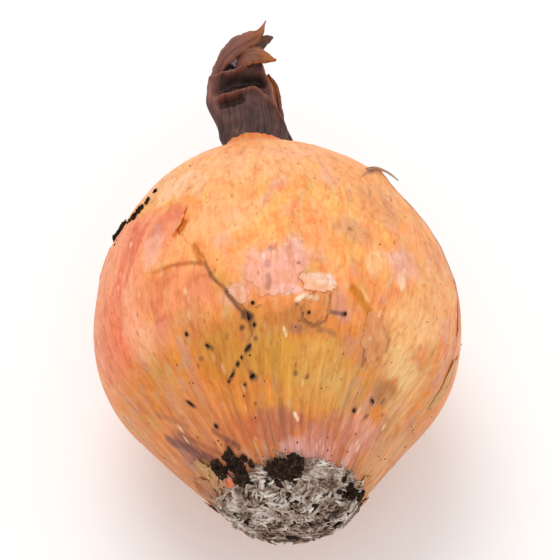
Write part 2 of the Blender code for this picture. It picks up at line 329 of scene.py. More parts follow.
def path_distance(longitude, station, path):
    """Distance in millimetres over the surface to a path of (longitude, station) points."""
    nearest = np.full(len(station), 1e9)
    for start, end in zip(path, path[1:]):
        across, along = along_surface(longitude, station, start)
        end_across, end_along = along_surface(np.array([end[0]]), np.array([end[1]]), start)
        leg = np.array([end_across[0], end_along[0]])
        part = np.clip((across * leg[0] + along * leg[1]) / (leg @ leg), 0.0, 1.0)
        nearest = np.minimum(nearest, np.hypot(across - part * leg[0], along - part * leg[1]))
    return nearest


# --- Colour of the skins --------------------------------------------------------------------

# Dark specks on the skin: (longitude, station, half width, half length, turn in degrees, darkness).
SPECKS = (
    (-10, -14.9, 0.85, 0.8, 20, 1.0), (-12, -16.4, 0.5, 0.4, 30, 0.9), (-8, -16.3, 0.35, 0.4, 0, 0.9),
    (-8, -18.4, 0.3, 0.35, -40, 0.7), (-11, -19.6, 0.4, 0.95, -45, 1.0), (-14, -20.9, 0.3, 0.35, 0, 0.8),
    (-16, -21.8, 0.32, 0.4, -40, 0.9), (-19.5, -23.3, 0.36, 0.8, -45, 0.9), (-21.5, -24.1, 0.3, 0.3, 0, 0.8),
    (-11, -23.8, 0.65, 0.55, -40, 1.0), (-15, -24.9, 0.38, 0.3, 20, 0.8), (-12, -27.8, 0.32, 0.32, 0, 0.7),
    (-8, -12.7, 0.5, 0.35, 0, 0.85), (-6, -13.3, 0.7, 0.2, 15, 0.5), (-18, -17.4, 0.3, 0.5, 0, 0.4),
    (-26, -18.3, 0.38, 0.45, 50, 0.85), (-24.5, -18.9, 0.3, 0.35, 0, 0.7), (-30, -20, 0.35, 0.3, 0, 0.6),
    (-32, -20.7, 0.3, 0.3, 0, 0.6), (-26, -21.1, 0.25, 0.3, 0, 0.35), (-32, -15.8, 0.4, 0.38, 0, 0.75),
    (-44, -25.4, 0.36, 0.8, 45, 1.0), (-37, -29.8, 0.42, 0.46, 30, 0.95), (-53, -26.7, 0.4, 0.35, 0, 0.35),
    (-44, -32.1, 0.32, 0.3, 0, 0.5), (-32, -33, 0.36, 0.34, 0, 0.7), (-36, -32.4, 0.8, 0.22, 30, 0.5),
    (7, -22.2, 0.22, 0.3, 0, 0.5), (7, -23.5, 0.34, 0.34, 0, 0.7), (12, -23.8, 0.32, 0.32, 0, 0.7),
    (10, -14.2, 0.42, 0.38, 0, 0.85), (6, -12.9, 0.42, 0.4, 20, 0.65), (8, -12.3, 0.4, 0.3, 0, 0.45),
    (22, -13.6, 0.42, 0.38, 0, 0.75), (25, -16, 0.28, 0.28, 0, 0.5), (6, -5.6, 0.34, 0.34, 0, 0.6),
    (46, -24.9, 0.34, 0.75, 45, 0.75), (38, -27.3, 0.45, 0.38, 0, 0.8), (56, -25.9, 0.45, 0.28, 0, 0.6),
    (46, -27.6, 0.36, 0.6, -40, 0.7), (52, -24.1, 0.3, 0.45, 0, 0.5), (63, -9.2, 0.28, 0.45, 0, 0.7),
    (64, -3.9, 0.25, 0.4, 0, 0.4), (55, -14, 0.4, 0.7, -10, 0.35), (22, 3.5, 0.55, 0.5, 20, 0.4),
    (-30, 16.1, 0.28, 0.28, 0, 0.55), (-22, 10.4, 0.26, 0.26, 0, 0.45), (-42, 23.8, 0.25, 0.3, 0, 0.5),
    (-38, 19.6, 0.25, 0.25, 0, 0.5), (24, 13.9, 0.2, 0.5, 10, 0.5), (26, 16.2, 0.2, 0.6, 25, 0.4),
    (22, 21, 0.3, 0.3, 0, 0.4), (16, 14, 0.16, 1.4, -12, 0.3), (32, 15, 0.15, 1.8, -20, 0.3),
)

# Colour bands of the skin from root to neck: (station, colour).
SKIN_BANDS = (
    (-40.0, "#84523A"), (-36.5, "#B06638"), (-32.0, "#CA6E28"), (-26.0, "#D47A22"), (-18.0, "#D87E26"),
    (-11.0, "#E88E4E"), (-3.0, "#F4A058"), (6.0, "#F6A25E"), (16.0, "#F2A258"), (27.0, "#F3A158"),
    (36.0, "#F89C56"), (42.0, "#F8904C"), (48.0, "#F07E40"),
)

# Blotches of other hues all over the skin: (size in mm, colour, noise level they start at, strength).
SKIN_BLOTCHES = (
    (4.5, "#FBB85C", 0.05, 0.6),
    (3.4, "#F0A68C", 0.12, 0.55),
    (2.4, "#E07C34", 0.15, 0.5),
    (1.3, "#FFCF92", 0.22, 0.5),
    (1.1, "#C4703C", 0.28, 0.5),
)

# Patches of other colours, two of them partly painted highlights: (longitude, station, half width, half
# length, colour, strength).
SKIN_PATCHES = (
    (-10, 20, 14, 6, "#F4AE74", 0.6),
    (-34, 19, 7, 4, "#F2B684", 0.7),
    (-18, 6, 9, 5, "#F4AE70", 0.6),
    (12, 26, 10, 4, "#F0A068", 0.5),
    (34, 13, 6, 7, "#E09458", 0.6),
    (22, 3.5, 4, 3, "#DE9C6A", 0.8),
    (30, -3, 2, 3, "#F6C890", 0.65),
    (40, -1, 4, 4, "#E8A890", 0.75),
    (40, -4.4, 1.0, 2.2, "#F8D4AC", 0.6),
    (54, -6, 6, 8, "#F2AE70", 0.6),
    (76, 0, 2.4, 14, "#CC806A", 0.45),
    (70, 12, 5, 7, "#E09470", 0.5),
    (-2, -6, 7, 4.5, "#E8A088", 0.75),
    (5, -4, 3, 4, "#ECAC9C", 0.8),
    # Pale thin peel with a painted highlight in it.
    (13, -8.2, 2.8, 1.4, "#F2DACB", 0.7),
    # Painted highlight: a small cluster of pinkish-white glints.
    (3, -10.5, 3, 1, "#F4C4BC", 0.7),
    (-14, -11, 3, 2, "#EAB49C", 0.5),
    (7, -15.5, 5, 2.4, "#BC7434", 0.85),
    (6, -17, 1.4, 0.8, "#9C5A50", 0.6),
    (-12, -17.5, 8, 4, "#C67E2C", 0.7),
    (-20, -20.6, 5, 4, "#C48022", 0.75),
    (2, -21.8, 6, 4, "#CA8C24", 0.8),
    (-8, -21, 5, 4, "#C8862A", 0.7),
    (18, -22.4, 6, 5, "#D49C48", 0.75),
    (28, -25, 5, 4, "#CC9C54", 0.6),
    (-14, -26.5, 7, 3, "#CC7622", 0.75),
    (10, -27.4, 8, 2.4, "#D48A32", 0.6),
    (34, -17, 3.5, 4.5, "#CC8452", 0.8),
    (46, -12, 8, 5, "#F4B472", 0.7),
    (48, -18, 4, 3, "#F0C482", 0.75),
    (57, -19, 3, 3, "#EEC88C", 0.7),
    (51, -23, 3.4, 2.2, "#A8703C", 0.75),
    (64, -22, 4, 6, "#E6AE70", 0.6),
    (48, -30, 7, 3, "#DC9078", 0.7),
    (30, -31, 5, 3, "#B86E4A", 0.6),
    (-2, -31, 6, 2.5, "#AC6042", 0.8),
    (16, -34.6, 5, 2.4, "#D0948A", 0.8),
    (22, -33, 5, 2.4, "#C88270", 0.6),
    (-30, -31, 8, 2.6, "#B85C2E", 0.7),
    (-48, -27, 9, 6, "#D8844A", 0.6),
    (-66, -31, 4, 3, "#9A6450", 0.75),
    (-64, -34.6, 2.2, 1.8, "#C89C5E", 0.85),
    (-55, -36.5, 2.6, 1.4, "#C08878", 0.8),
    (-52, -38.2, 1.2, 1.0, "#E07038", 0.9),
    (-38, -35.4, 4, 1.6, "#D08A5C", 0.6),
    (78, -32, 8, 6, "#D49C66", 0.6),
    (120, 8, 20, 20, "#DE9456", 0.5),
    (150, -18, 18, 12, "#BC7436", 0.5),
    (-160, 10, 18, 22, "#E4985A", 0.5),
    (180, 26, 16, 8, "#EEAC70", 0.6),
    (110, -24, 12, 10, "#CC8450", 0.5),
    (-150, -24, 12, 8, "#B86C3C", 0.6),
    (165, -4, 14, 10, "#E8A67C", 0.5),
)

# The same for the torn outer skin on the -X side.
TORN_PATCHES = (
    (-64, 0, 20, 24, "#EE8A5A", 0.8),
    (-40, 8, 10, 6, "#EC8A62", 0.6),
    (-30, -9, 8, 5, "#EC9060", 0.6),
    (-50, 8, 2.2, 5, "#E06A40", 0.85),
    (-56, -2, 2.2, 8, "#EC6C3E", 0.85),
    (-39, 6.4, 2.0, 4, "#D07C66", 0.8),
    (-34, 10, 4.5, 2.4, "#E0754A", 0.8),
    (-40, 2, 3, 5, "#F0A684", 0.8),
    (-33, 0, 4, 2.2, "#F09C60", 0.7),
    (-62, -10, 4, 9, "#EA6C40", 0.8),
    (-52, -8, 4, 8, "#F29C70", 0.8),
    (-38, -7, 7, 3.6, "#E48854", 0.8),
    (-24, -8, 4, 3, "#E08050", 0.8),
    (-74, -12, 5, 10, "#E4764C", 0.7),
    (-46, -14, 4, 4, "#F2A678", 0.8),
    (-40, -13, 2, 3, "#D8765A", 0.7),
    (-30, -14, 5, 3, "#D68C50", 0.7),
    (-66, -22, 7, 5, "#C86C3C", 0.7),
    (-80, 2, 3, 14, "#E89A8C", 0.6),
    (-100, 0, 22, 22, "#E88650", 0.7),
    (-120, -14, 14, 12, "#CC7442", 0.6),
)

# Thin darker or paler marks over all skins, some of them painted shade and painted highlights: (path of
# longitude and station, half width, colour, strength).
SKIN_MARKS = (
    ([(-29, 6.8), (-30, 5), (-32, 4)], 0.75, "#D06408", 0.95),
    # Painted shade along the crack under the torn skin's front edge, in this line and the next.
    ([(-22, -4), (-20, -7), (-16, -10.2)], 0.34, "#A8682E", 0.8),
    ([(-16, -10.2), (-13, -13), (-10, -15)], 0.36, "#6A3A28", 0.85),
    ([(-25, 0.4), (-23, -3.4)], 0.7, "#CC701C", 0.9),
    ([(23, -8.8), (26, -10.4), (30, -12.4)], 0.75, "#CC7A10", 0.95),
    ([(25.6, -8.2), (29, -10.4)], 0.35, "#F6C078", 0.6),
    ([(-2, -2.6), (-2, -3)], 0.55, "#A4645C", 0.85),
    ([(-3, -5.6), (-3, -6.2)], 0.5, "#A4605C", 0.85),
    ([(-3, -8.2), (-3, -10)], 0.6, "#98544C", 0.85),
    # Painted highlight: a small white glint.
    ([(-4, -4), (-4, -4.4)], 0.35, "#F8D8C8", 0.8),
    # Painted highlight along a rolled curl of skin.
    ([(6, -12.2), (8, -11.5), (12, -11.7)], 0.45, "#FADCB4", 0.85),
    # Painted shadow round the outline of a small loose flake.
    ([(8, -13.3), (8, -15.5), (12, -16.4), (16, -15.3), (16.5, -13.6), (16, -10.8)], 0.3, "#8A5028", 0.75),
    ([(16, -13.6), (18, -13.7), (22, -13.7)], 0.4, "#6E4A48", 0.8),
    ([(14, -16.8), (18, -16.8), (20, -17.2)], 0.45, "#9A6434", 0.7),
    # Painted highlight: a small cream glint.
    ([(2, -17), (3, -18)], 0.22, "#F8DDB4", 0.8),
    # Painted highlight: a small cream glint.
    ([(7, -29.4), (8.6, -30.2)], 0.26, "#FAE2C0", 0.8),
    ([(33, -18.4), (34, -20.6)], 0.4, "#9C5C34", 0.8),
    ([(36, -14), (40, -15.6), (41, -17.4)], 0.35, "#A8693A", 0.75),
    ([(-73, -27.6), (-66, -30), (-60, -32), (-54, -33.6)], 0.9, "#6E3A34", 0.8),
    ([(-62, -28.4), (-54, -31), (-46, -33.4)], 0.5, "#94502E", 0.7),
    ([(-66, -24), (-60, -26), (-54, -28)], 0.6, "#A8623C", 0.6),
    ([(-40, -30.4), (-34, -32.4), (-30, -33.4)], 0.5, "#7C4428", 0.7),
    ([(52, -30), (47, -33), (44, -35.4)], 0.9, "#DCA090", 0.7),
    ([(58, -28), (54, -31), (50, -34)], 0.7, "#C4765C", 0.7),
    ([(40, -29), (37, -32), (35, -35)], 0.8, "#C47458", 0.6),
    ([(-44, 11), (-46, 8), (-49, 3), (-53, -2)], 0.6, "#DC6038", 0.6),
)


def band_color(station):
    stations = [band[0] for band in SKIN_BANDS]
    colors = np.array([hex_color(band[1]) for band in SKIN_BANDS])
    return np.stack([np.interp(station, stations, colors[:, channel]) for channel in range(3)], -1)


def blend_patches(color, longitude, station, patches, wander):
    """Lay soft-edged patches over color; wander roughens their edges."""
    for centre_longitude, centre_station, half_width, half_length, patch_color, strength in patches:
        across, along = along_surface(longitude, station, (centre_longitude, centre_station))
        distance = np.hypot(across / half_width, along / half_length) + 0.42 * wander
        weight = strength * smooth_step((1.3 - distance) / 0.75)
        color += (np.array(hex_color(patch_color)) - color) * weight[:, None]
    return color


def blend_marks(color, longitude, station, marks, wander):
    """Draw thin soft lines over color; wander frays them."""
    for path, half_width, mark_color, strength in marks:
        distance = path_distance(longitude, station, path) / half_width + 0.5 * wander
        weight = strength * smooth_step(1.5 - distance)
        color += (np.array(hex_color(mark_color)) - color) * weight[:, None]
    return color


def blend_specks(color, longitude, station, wander):
    """Stain the skin round each listed speck."""
    for speck_longitude, speck_station, half_width, half_length, turn, darkness in SPECKS:
        across, along = along_surface(longitude, station, (speck_longitude, speck_station))
        cosine, sine = math.cos(math.radians(turn)), math.sin(math.radians(turn))
        distance = np.hypot((across * cosine + along * sine) / half_width,
                            (along * cosine - across * sine) / half_length)
        weight = darkness * smooth_step((1.7 - distance + 0.9 * wander) / 1.1)
        color += (np.array(hex_color("#54301C")) - color) * weight[:, None]
    return color


def skin_color(longitude, station, patches):
    points = surface_points(longitude, station, 0.0)
    fine = noise_at(points, 1.5, 8.0)
    wander = 0.8 * noise_at(points, 4.5, 3.0) + 0.7 * fine
    color = band_color(station + 2.0 * wander)
    for seed, (size, text, start, strength) in enumerate(SKIN_BLOTCHES):
        amount = meridian_noise(longitude, station, size, 1.6 * size, 50.0 + 7.0 * seed) + 0.25 * fine
        shade = np.array(hex_color(text)) * (color.mean(1) / np.mean(hex_color(text)))[:, None]
        color += (shade - color) * (strength * smooth_step((amount - start) / 0.35))[:, None]
    color = blend_patches(color, longitude, station, patches, wander)
    streaks = meridian_noise(longitude, station, 1.6, 11.0, 12.0)
    streaks = streaks + 0.7 * meridian_noise(longitude, station, 0.7, 7.0, 31.0)
    root_side = smooth_step((-16.0 - station) / 14.0)
    color *= (1.0 + streaks * (0.08 + 0.2 * root_side))[:, None]
    drift = noise_at(points, 7.0, 17.0)
    color *= 1.0 + drift[:, None] * np.array([0.02, 0.08, 0.16])
    color = blend_marks(color, longitude, station, SKIN_MARKS, 0.7 * wander)
    return blend_specks(color, longitude, station, fine)


# --- Relief of the skins --------------------------------------------------------------------

# Soft swellings and dents: (longitude, station, half width, half length, height).
SWELLINGS = (
    (-4, -6, 8, 5, 0.5),
    (14, -10, 7, 4, 0.45),
    (20, -15, 8, 4, -0.3),
    (60, -22, 8, 8, -0.3),
    (0, 30, 16, 5, -0.3),
    (40, 26, 9, 6, 0.3),
)

# Creases, raised if the height is positive: (path of longitude and station, half width, height).
CREASES = (
    ([(-9, 0), (-5, 0), (-4, -5), (-6, -10)], 0.5, -0.3),
    ([(1, 0), (6, -4), (10, -9)], 0.6, 0.25),
    ([(2, -10), (8, -11), (14, -9), (17, -6)], 0.5, 0.3),
    ([(6, -14), (12, -12), (17, -13)], 0.5, -0.3),
    ([(18, -8), (20, -12), (17, -16)], 0.5, -0.3),
    ([(24, -7), (28, -13), (34, -15)], 0.5, 0.3),
)


def skin_relief(longitude, station):
    """Height in millimetres of the skin's own relief: veins, wrinkles, swellings and creases."""
    points = surface_points(longitude, station, 0.0)
    height = 0.22 * noise_at(points, 14.0, 21.0) + 0.05 * noise_at(points, 3.0, 5.0)
    ends = smooth_step((np.abs(station - 2.0) - 14.0) / 22.0)
    veins = meridian_noise(longitude, station, 1.5, 30.0, 40.0)
    height += (0.035 + 0.12 * ends) * veins
    for centre_longitude, centre_station, half_width, half_length, rise in SWELLINGS:
        across, along = along_surface(longitude, station, (centre_longitude, centre_station))
        distance = np.hypot(across / half_width, along / half_length)
        height += rise * smooth_step(1.3 - distance)
    for path, half_width, rise in CREASES:
        height += rise * np.exp(-(path_distance(longitude, station, path) / half_width) ** 2)
    return height


# --- Pieces ---------------------------------------------------------------------------------


def write_tint(mesh, color):
    layer = mesh.color_attributes.new("tint", "FLOAT_COLOR", "POINT")
    rgba = np.concatenate([np.clip(color, 0.0, 1.0), np.ones((len(color), 1))], 1)
    layer.data.foreach_set("color", rgba.astype(np.float32).ravel())


def write_grain(mesh, grain):
    layer = mesh.attributes.new("grain", "FLOAT_VECTOR", "POINT")
    layer.data.foreach_set("vector", grain.astype(np.float32).ravel())


def skin_grain(longitude, station):
    """Texture coordinates in millimetres that follow the skin from root to neck."""
    angle = np.radians(longitude)
    return np.stack([np.sin(angle) * RADIUS, station, np.cos(angle) * RADIUS], -1)


def line_noise(values, size, seed):
    """Noise along one coordinate, for ragged edges."""
    return np.array([noise.noise((value / size, seed, 0.5 * seed)) for value in values.tolist()])


def piece_from_mesh(name, mesh, material, replaces=()):
    mesh.shade_smooth()
    mesh.materials.clear()
    mesh.materials.append(material)
    piece = bpy.data.objects.new(name, mesh)
    bpy.context.scene.collection.objects.link(piece)
    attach(piece, "root")
    if replaces:
        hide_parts(*replaces)
    return piece


def finish_piece(name, bm, points, material, replaces=()):
    """Turn a bmesh whose vertices go to points, in millimetres, into a piece of the object."""
    for vertex, point in zip(bm.verts, (points * MM).tolist()):
        vertex.co = point
    mesh = bpy.data.meshes.new(name)
    bm.to_mesh(mesh)
    bm.free()
    return piece_from_mesh(name, mesh, material, replaces)


def vertex_array(bm):
    return np.array([vertex.co[:] for vertex in bm.verts])


def grid_sheet(columns, rows):
    """A flat grid and its vertices' (across, along) places, each from 0 to 1."""
    bm = bmesh.new()
    bmesh.ops.create_grid(bm, x_segments=columns, y_segments=rows, size=0.5)
    places = vertex_array(bm)[:, :2] + 0.5
    return bm, places[:, 0], places[:, 1]


def tube_sheet(columns, rows, capped=False):
    """A seamless tube: its bmesh, each vertex's turn from the top in radians and its place along."""
    bm, across, along = grid_sheet(columns, rows)
    for vertex, turn, place in zip(bm.verts, (across * math.tau).tolist(), along.tolist()):
        vertex.co = math.sin(turn), place, math.cos(turn)
    bmesh.ops.remove_doubles(bm, verts=bm.verts, dist=1e-4)
    if capped:
        bmesh.ops.holes_fill(bm, edges=[edge for edge in bm.edges if edge.is_boundary], sides=0)
    bmesh.ops.recalc_face_normals(bm, faces=bm.faces)
    places = vertex_array(bm)
    return bm, np.arctan2(places[:, 0], places[:, 2]), places[:, 1]


def add_thickness(piece, thickness):
    solidify = piece.modifiers.new("Solidify", "SOLIDIFY")
    solidify.thickness = thickness * MM
    solidify.offset = -1.0
    return piece


def crowd_front(turn):
    """Turn an even step round the bulb, -1 to 1, into degrees that lie closer together in front."""
    crowding = 1.6
    return 180.0 * (turn + crowding * turn ** 3) / (1.0 + crowding)


def build_bulb():
    """The bulb in its tight dry skin."""
    lower = np.arange(ROOT_END, 14.0, 0.33)
    shoulder = SHOULDER_LENGTH * np.sin(np.linspace(math.asin(14.2 / SHOULDER_LENGTH), 1.45, 60))
    stub = np.linspace(shoulder[-1] + 0.3, STUB_END, 6)
    stations = np.concatenate([lower, shoulder, stub])
    bm = bmesh.new()
    outline = [bm.verts.new((0.0, float(station), 10.0)) for station in stations]
    edges = [bm.edges.new(pair) for pair in zip(outline, outline[1:])]
    bmesh.ops.spin(bm, geom=outline + edges, cent=(0, 0, 0), axis=(0, 1, 0), angle=math.tau,
                   steps=400, use_merge=True)
    bmesh.ops.holes_fill(bm, edges=[edge for edge in bm.edges if edge.is_boundary], sides=0)
    bmesh.ops.recalc_face_normals(bm, faces=bm.faces)
    flat = vertex_array(bm)
    turn = np.arctan2(flat[:, 0], flat[:, 2]) / math.pi
    longitude = crowd_front(turn)
    station = flat[:, 1]
    points = surface_points(longitude, station, skin_relief(longitude, station))
    piece = finish_piece("bulb_in_dry_skin", bm, points, dry_skin(), ["bulb"])
    write_tint(piece.data, skin_color(longitude, station, SKIN_PATCHES))
    write_grain(piece.data, skin_grain(longitude, station))
    return piece


def curve_value(points, position):
    """Read a smooth curve through (position, value) points at an array of positions."""
    at = np.array([point[0] for point in points], float)
    value = np.array([point[1] for point in points], float)
    index = np.clip(np.searchsorted(at, position) - 1, 0, len(at) - 2)
    part = smooth_step((position - at[index]) / (at[index + 1] - at[index]))
    return value[index] + (value[index + 1] - value[index]) * part


# The torn skin's top edge and its tear, as (longitude, station), and its front edge, as
# (station, longitude).
TORN_TOP = ((-132, 20.0), (-112, 15.5), (-96, 11.0), (-80, 10.0), (-66, 13.2), (-58, 14.6), (-50, 14.2),
            (-42, 13.6), (-34, 12.4), (-28, 11.0))
TORN_FRONT = ((-34.0, -46.0), (-30.0, -40.0), (-22.0, -14.0), (-17.0, -9.0), (-14.0, -10.5), (-10.0, -16.0),
              (-7.0, -20.0), (-4.0, -22.0), (-1.0, -24.0), (1.5, -28.0), (4.5, -31.0), (8.0, -29.5),
              (11.5, -28.5))
TORN_TEAR = ((-22.5, -4.2), (-27.0, -3.3), (-33.0, -2.8), (-38.0, -2.9), (-43.0, -2.2))


def build_torn_skin(settings):
    """The redder outer skin on the -X side, torn along its top and down its front edge, with painted shade
    along the tear and the front edge.
    """
    bm, across, along = grid_sheet(230, 150)
    back, low = -132.0, -34.0
    guess = back + (-28.0 - back) * across
    ragged = 0.5 * line_noise(guess, 3.0, 4.0)
    top = curve_value(TORN_TOP, guess) + ragged + 0.25 * line_noise(guess, 0.8, 9.0)
    station = low + (top - low) * along
    front = curve_value(TORN_FRONT, station) + 0.6 * line_noise(station, 1.1, 3.0)
    longitude = back + (front - back) * across
    to_front = np.radians(front - longitude) * bulb_radius(station)
    to_top = top - station
    edge = np.minimum(np.maximum(to_front, 0.0), np.maximum(to_top, 0.0))
    sinking = smooth_step((-16.0 - station) / 5.0)
    free = smooth_step((back + 8.0 - longitude) / -6.0)
    curl = 0.28 * np.exp(-edge / 1.1)
    tear = path_distance(longitude, station, TORN_TEAR)
    below = station < curve_value(TORN_TEAR[::-1], longitude)
    flank = np.where(below, -1.0, 1.0) * np.exp(-(tear / 1.2) ** 2)
    lift = settings.torn_skin_lift / MM + curl + 0.16 * flank
    lift = lift * (1.0 - sinking) - 0.35 * sinking
    lift = lift * free - 0.3 * (1.0 - free)
    points = surface_points(longitude, station, skin_relief(longitude, station) + lift)
    piece = finish_piece("torn_red_skin", bm, points, dry_skin(), ["torn_skin_left"])
    color = skin_color(longitude, station, SKIN_PATCHES)
    red = skin_color(longitude, station, SKIN_PATCHES + TORN_PATCHES)
    fade = (1.0 - smooth_step((-12.0 - station) / 9.0)) * free
    color += (red - color) * fade[:, None]
    # Painted shade along the tear and along the front edge of the torn skin.
    tear_shade = 0.75 * np.exp(-(tear / 0.4) ** 2) * smooth_step((longitude + 44.0) / 12.0)
    front_edge_shade = 0.85 * np.exp(-(to_front / 0.42) ** 2) * smooth_step((-3.0 - station) / 4.0)
    front_edge_shade *= 1.0 - sinking
    for weight, dark in ((tear_shade, "#B85A1C"), (front_edge_shade, "#8A4A20")):
        color += (np.array(hex_color(dark)) - color) * weight[:, None]
    write_tint(piece.data, color)
    write_grain(piece.data, skin_grain(longitude, station))
    return add_thickness(piece, SKIN_THICKNESS)


# The shoulder flap's top edge, as (longitude, station), and how far the flap reaches below it.
FLAP_TOP = ((30, 20.0), (37, 22.8), (43, 24.4), (47, 22.6), (52, 19.8), (58, 16.4), (64, 12.4), (71, 6.0),
            (78, -1.0))
FLAP_REACH = 13.0


def build_shoulder_flap():
    """The loose flap that lies along the +X shoulder, its front corner lifted, with painted shade along its
    free edge.
    """
    bm, across, along = grid_sheet(150, 70)
    longitude = 30.0 + 48.0 * across
    top = curve_value(FLAP_TOP, longitude) + 0.35 * line_noise(longitude, 1.6, 14.0)
    station = top - FLAP_REACH * (1.0 - along)
    edge = top - station
    corner = np.exp(-((longitude - 42.5) / 4.0) ** 2)
    sink = smooth_step((edge - 5.0) / 5.0) + smooth_step((34.0 - longitude) / 4.0)
    sink = np.minimum(1.0, sink + smooth_step((longitude - 72.0) / 6.0))
    lift = 0.15 + 0.2 * np.exp(-edge / 1.0) + 0.9 * corner * np.exp(-edge / 1.6)
    lift = lift * (1.0 - sink) - 0.35 * sink
    points = surface_points(longitude, station, skin_relief(longitude, station) + lift)
    piece = finish_piece("shoulder_flap", bm, points, dry_skin(), ["skin_flap_right"])
    color = skin_color(longitude, station, SKIN_PATCHES)
    # Painted shade along the flap's free, lifted edge.
    dark = 0.85 * np.exp(-(edge / 0.6) ** 2) * (1.0 - sink)
    color += (np.array(hex_color("#8C5048")) - color) * dark[:, None]
    write_tint(piece.data, color)
    write_grain(piece.data, skin_grain(longitude, station))
    return add_thickness(piece, SKIN_THICKNESS)


def build_wisp(settings):
    """A dry grey wisp of skin that stands off the flap's corner."""
    stops = ((38.5, 24.3, 0.3), (42.0, 24.8, 1.2), (45.0, 24.1, 1.9), (47.0, 23.1, 2.1), (48.6, 22.2, 2.1))
    route = [surface_frame(*stop)[0] for stop in stops]
    path = [(point.x, point.y, point.z - AXIS_HEIGHT) for point in route]
    leaf_strip("grey_wisp", path, (0.6, 0.45, 0.25, 0.2, 0.07), (30, 30, 20, 0, 0), 0.1, (), settings,
               ("#B48C6E", "#A09E8A"), "dry_skin")


# Flakes of skin that have come loose: (longitude, station, half width, half length, turn, curl,
# height over the skin, colour).
FLAKES = (
    (-1, -7.2, 5.2, 4.4, 12, 0.06, 0.0, "#ECA68C"),
    # A pale flake of thin peel, its colour partly a painted highlight.
    (12, -9.0, 3.4, 1.5, -12, 0.3, 0.0, "#F0C0A4"),
    (12, -13.2, 2.7, 2.3, 15, 0.25, 0.05, "#CC8444"),
    (-14, -11.5, 3.0, 2.0, 30, 0.1, 0.0, "#EAAC8C"),
    (35, -16, 2.8, 4.2, 20, 0.1, 0.0, "#DA925E"),
    (82, -14, 2.0, 5.0, 10, 0.22, 0.0, "#A98E58"),
    (76, 1, 1.2, 7.0, 0, 0.2, 0.0, "#D88C66"),
    (-62, -36.0, 2.4, 1.6, 10, 0.5, 0.1, "#C89468"),
    (-53, -37.4, 1.3, 0.9, 0, 0.4, 0.2, "#DC7240"),
    (-70, -34.2, 2.8, 1.8, 20, 0.5, 0.1, "#B88A5C"),
    (-82, -35.6, 3.0, 1.8, 0, 0.6, 0.1, "#946646"),
    (80, -36.0, 2.8, 1.8, 0, 0.5, 0.1, "#C0824E"),
    (110, -36.0, 3.4, 1.8, 0, 0.6, 0.1, "#A87050"),
    (150, -36.4, 3.4, 1.6, 0, 0.5, 0.1, "#9C6848"),
    (-120, -36.0, 3.4, 1.8, 0, 0.6, 0.1, "#A06A48"),
    (-160, -36.2, 3.0, 1.6, 0, 0.5, 0.1, "#8E6044"),
    (128, 12, 4.0, 6.0, 25, 0.5, 0.0, "#E8A268"),
    (-140, -8, 3.6, 6.5, -20, 0.4, 0.0, "#D88C50"),
    (150, -22, 4.0, 5.0, 10, 0.4, 0.0, "#C87E40"),
)


def build_flakes():
    """Small ragged flakes of skin, lifted at their edges, with painted shade along their rims."""
    bm = bmesh.new()
    points, colors, grains = [], [], []
    for seed, (centre_longitude, centre_station, half_width, half_length, turn, curl, height, text) in \
            enumerate(FLAKES):
        verts = bmesh.ops.create_grid(bm, x_segments=44, y_segments=44, size=1.0)["verts"]
        square = np.array([vertex.co[:2] for vertex in verts])
        disc = square * np.sqrt(1.0 - square[:, ::-1] ** 2 / 2.0)
        reach = np.hypot(disc[:, 0], disc[:, 1])
        rim = np.stack([disc[:, 0], disc[:, 1], np.zeros(len(disc))], -1) / np.maximum(reach, 1e-6)[:, None]
        ragged = 1.0 + 0.4 * noise_at(rim, 0.9, 3.0 * seed) + 0.22 * noise_at(rim, 0.3, 5.0 * seed)
        ragged = 1.0 + (ragged - 1.0) * reach
        across, along = disc[:, 0] * half_width * ragged, disc[:, 1] * half_length * ragged
        cosine, sine = math.cos(math.radians(turn)), math.sin(math.radians(turn))
        across, along = across * cosine - along * sine, across * sine + along * cosine
        station = np.maximum(centre_station + along, ROOT_END + 0.1)
        centre_radius = bulb_radius(np.full(len(along), float(centre_station)))
        longitude = centre_longitude + np.degrees(across / centre_radius)
        uneven = 0.6 + 0.8 * noise_at(rim, 1.2, 7.0 * seed + 2.0)
        lift = 0.07 + height + curl * np.maximum(uneven, 0.1) * smooth_step((reach - 0.45) / 0.55) ** 1.5
        if -128 < centre_longitude < -22 and centre_station > -20:
            lift += 0.3
        points.append(surface_points(longitude, station, skin_relief(longitude, station) + lift))
        color = skin_color(longitude, station, SKIN_PATCHES)
        blend = (0.5 * smooth_step((reach + 0.2) / 0.8))[:, None]
        color += (np.array(hex_color(text)) - color) * blend
        # Painted shade along each flake's lifted rim.
        dark = (0.07 * smooth_step((reach - 0.93) / 0.07) * np.clip(uneven, 0.0, 1.0))[:, None]
        color += (np.array(hex_color("#9A5A38")) - color) * dark
        colors.append(color)
        grains.append(skin_grain(longitude, station))
    piece = finish_piece("loose_skin_flakes", bm, np.concatenate(points), dry_skin())
    write_tint(piece.data, np.concatenate(colors))
    write_grain(piece.data, np.concatenate(grains))
    return add_thickness(piece, FLAKE_THICKNESS)


NECK_FOOT = 43.0
NECK_LENGTH = 28.0


def neck_section(station):
    """Centre x, centre height and half width of the dried neck at an array of stations."""
    centre_x = curve_value(((44, -3.4), (49, -5.2), (58, -8.1), (64, -8.5), (68, -7.3), (72, -5.4)), station)
    centre_z = AXIS_HEIGHT + 0.17 * (station - 44.0)
    half_width = curve_value(((44, 7.2), (50, 7.5), (56, 7.6), (60, 7.2), (64, 5.8), (68, 3.4), (72, 1.2)),
                             station)
    return centre_x, centre_z, half_width


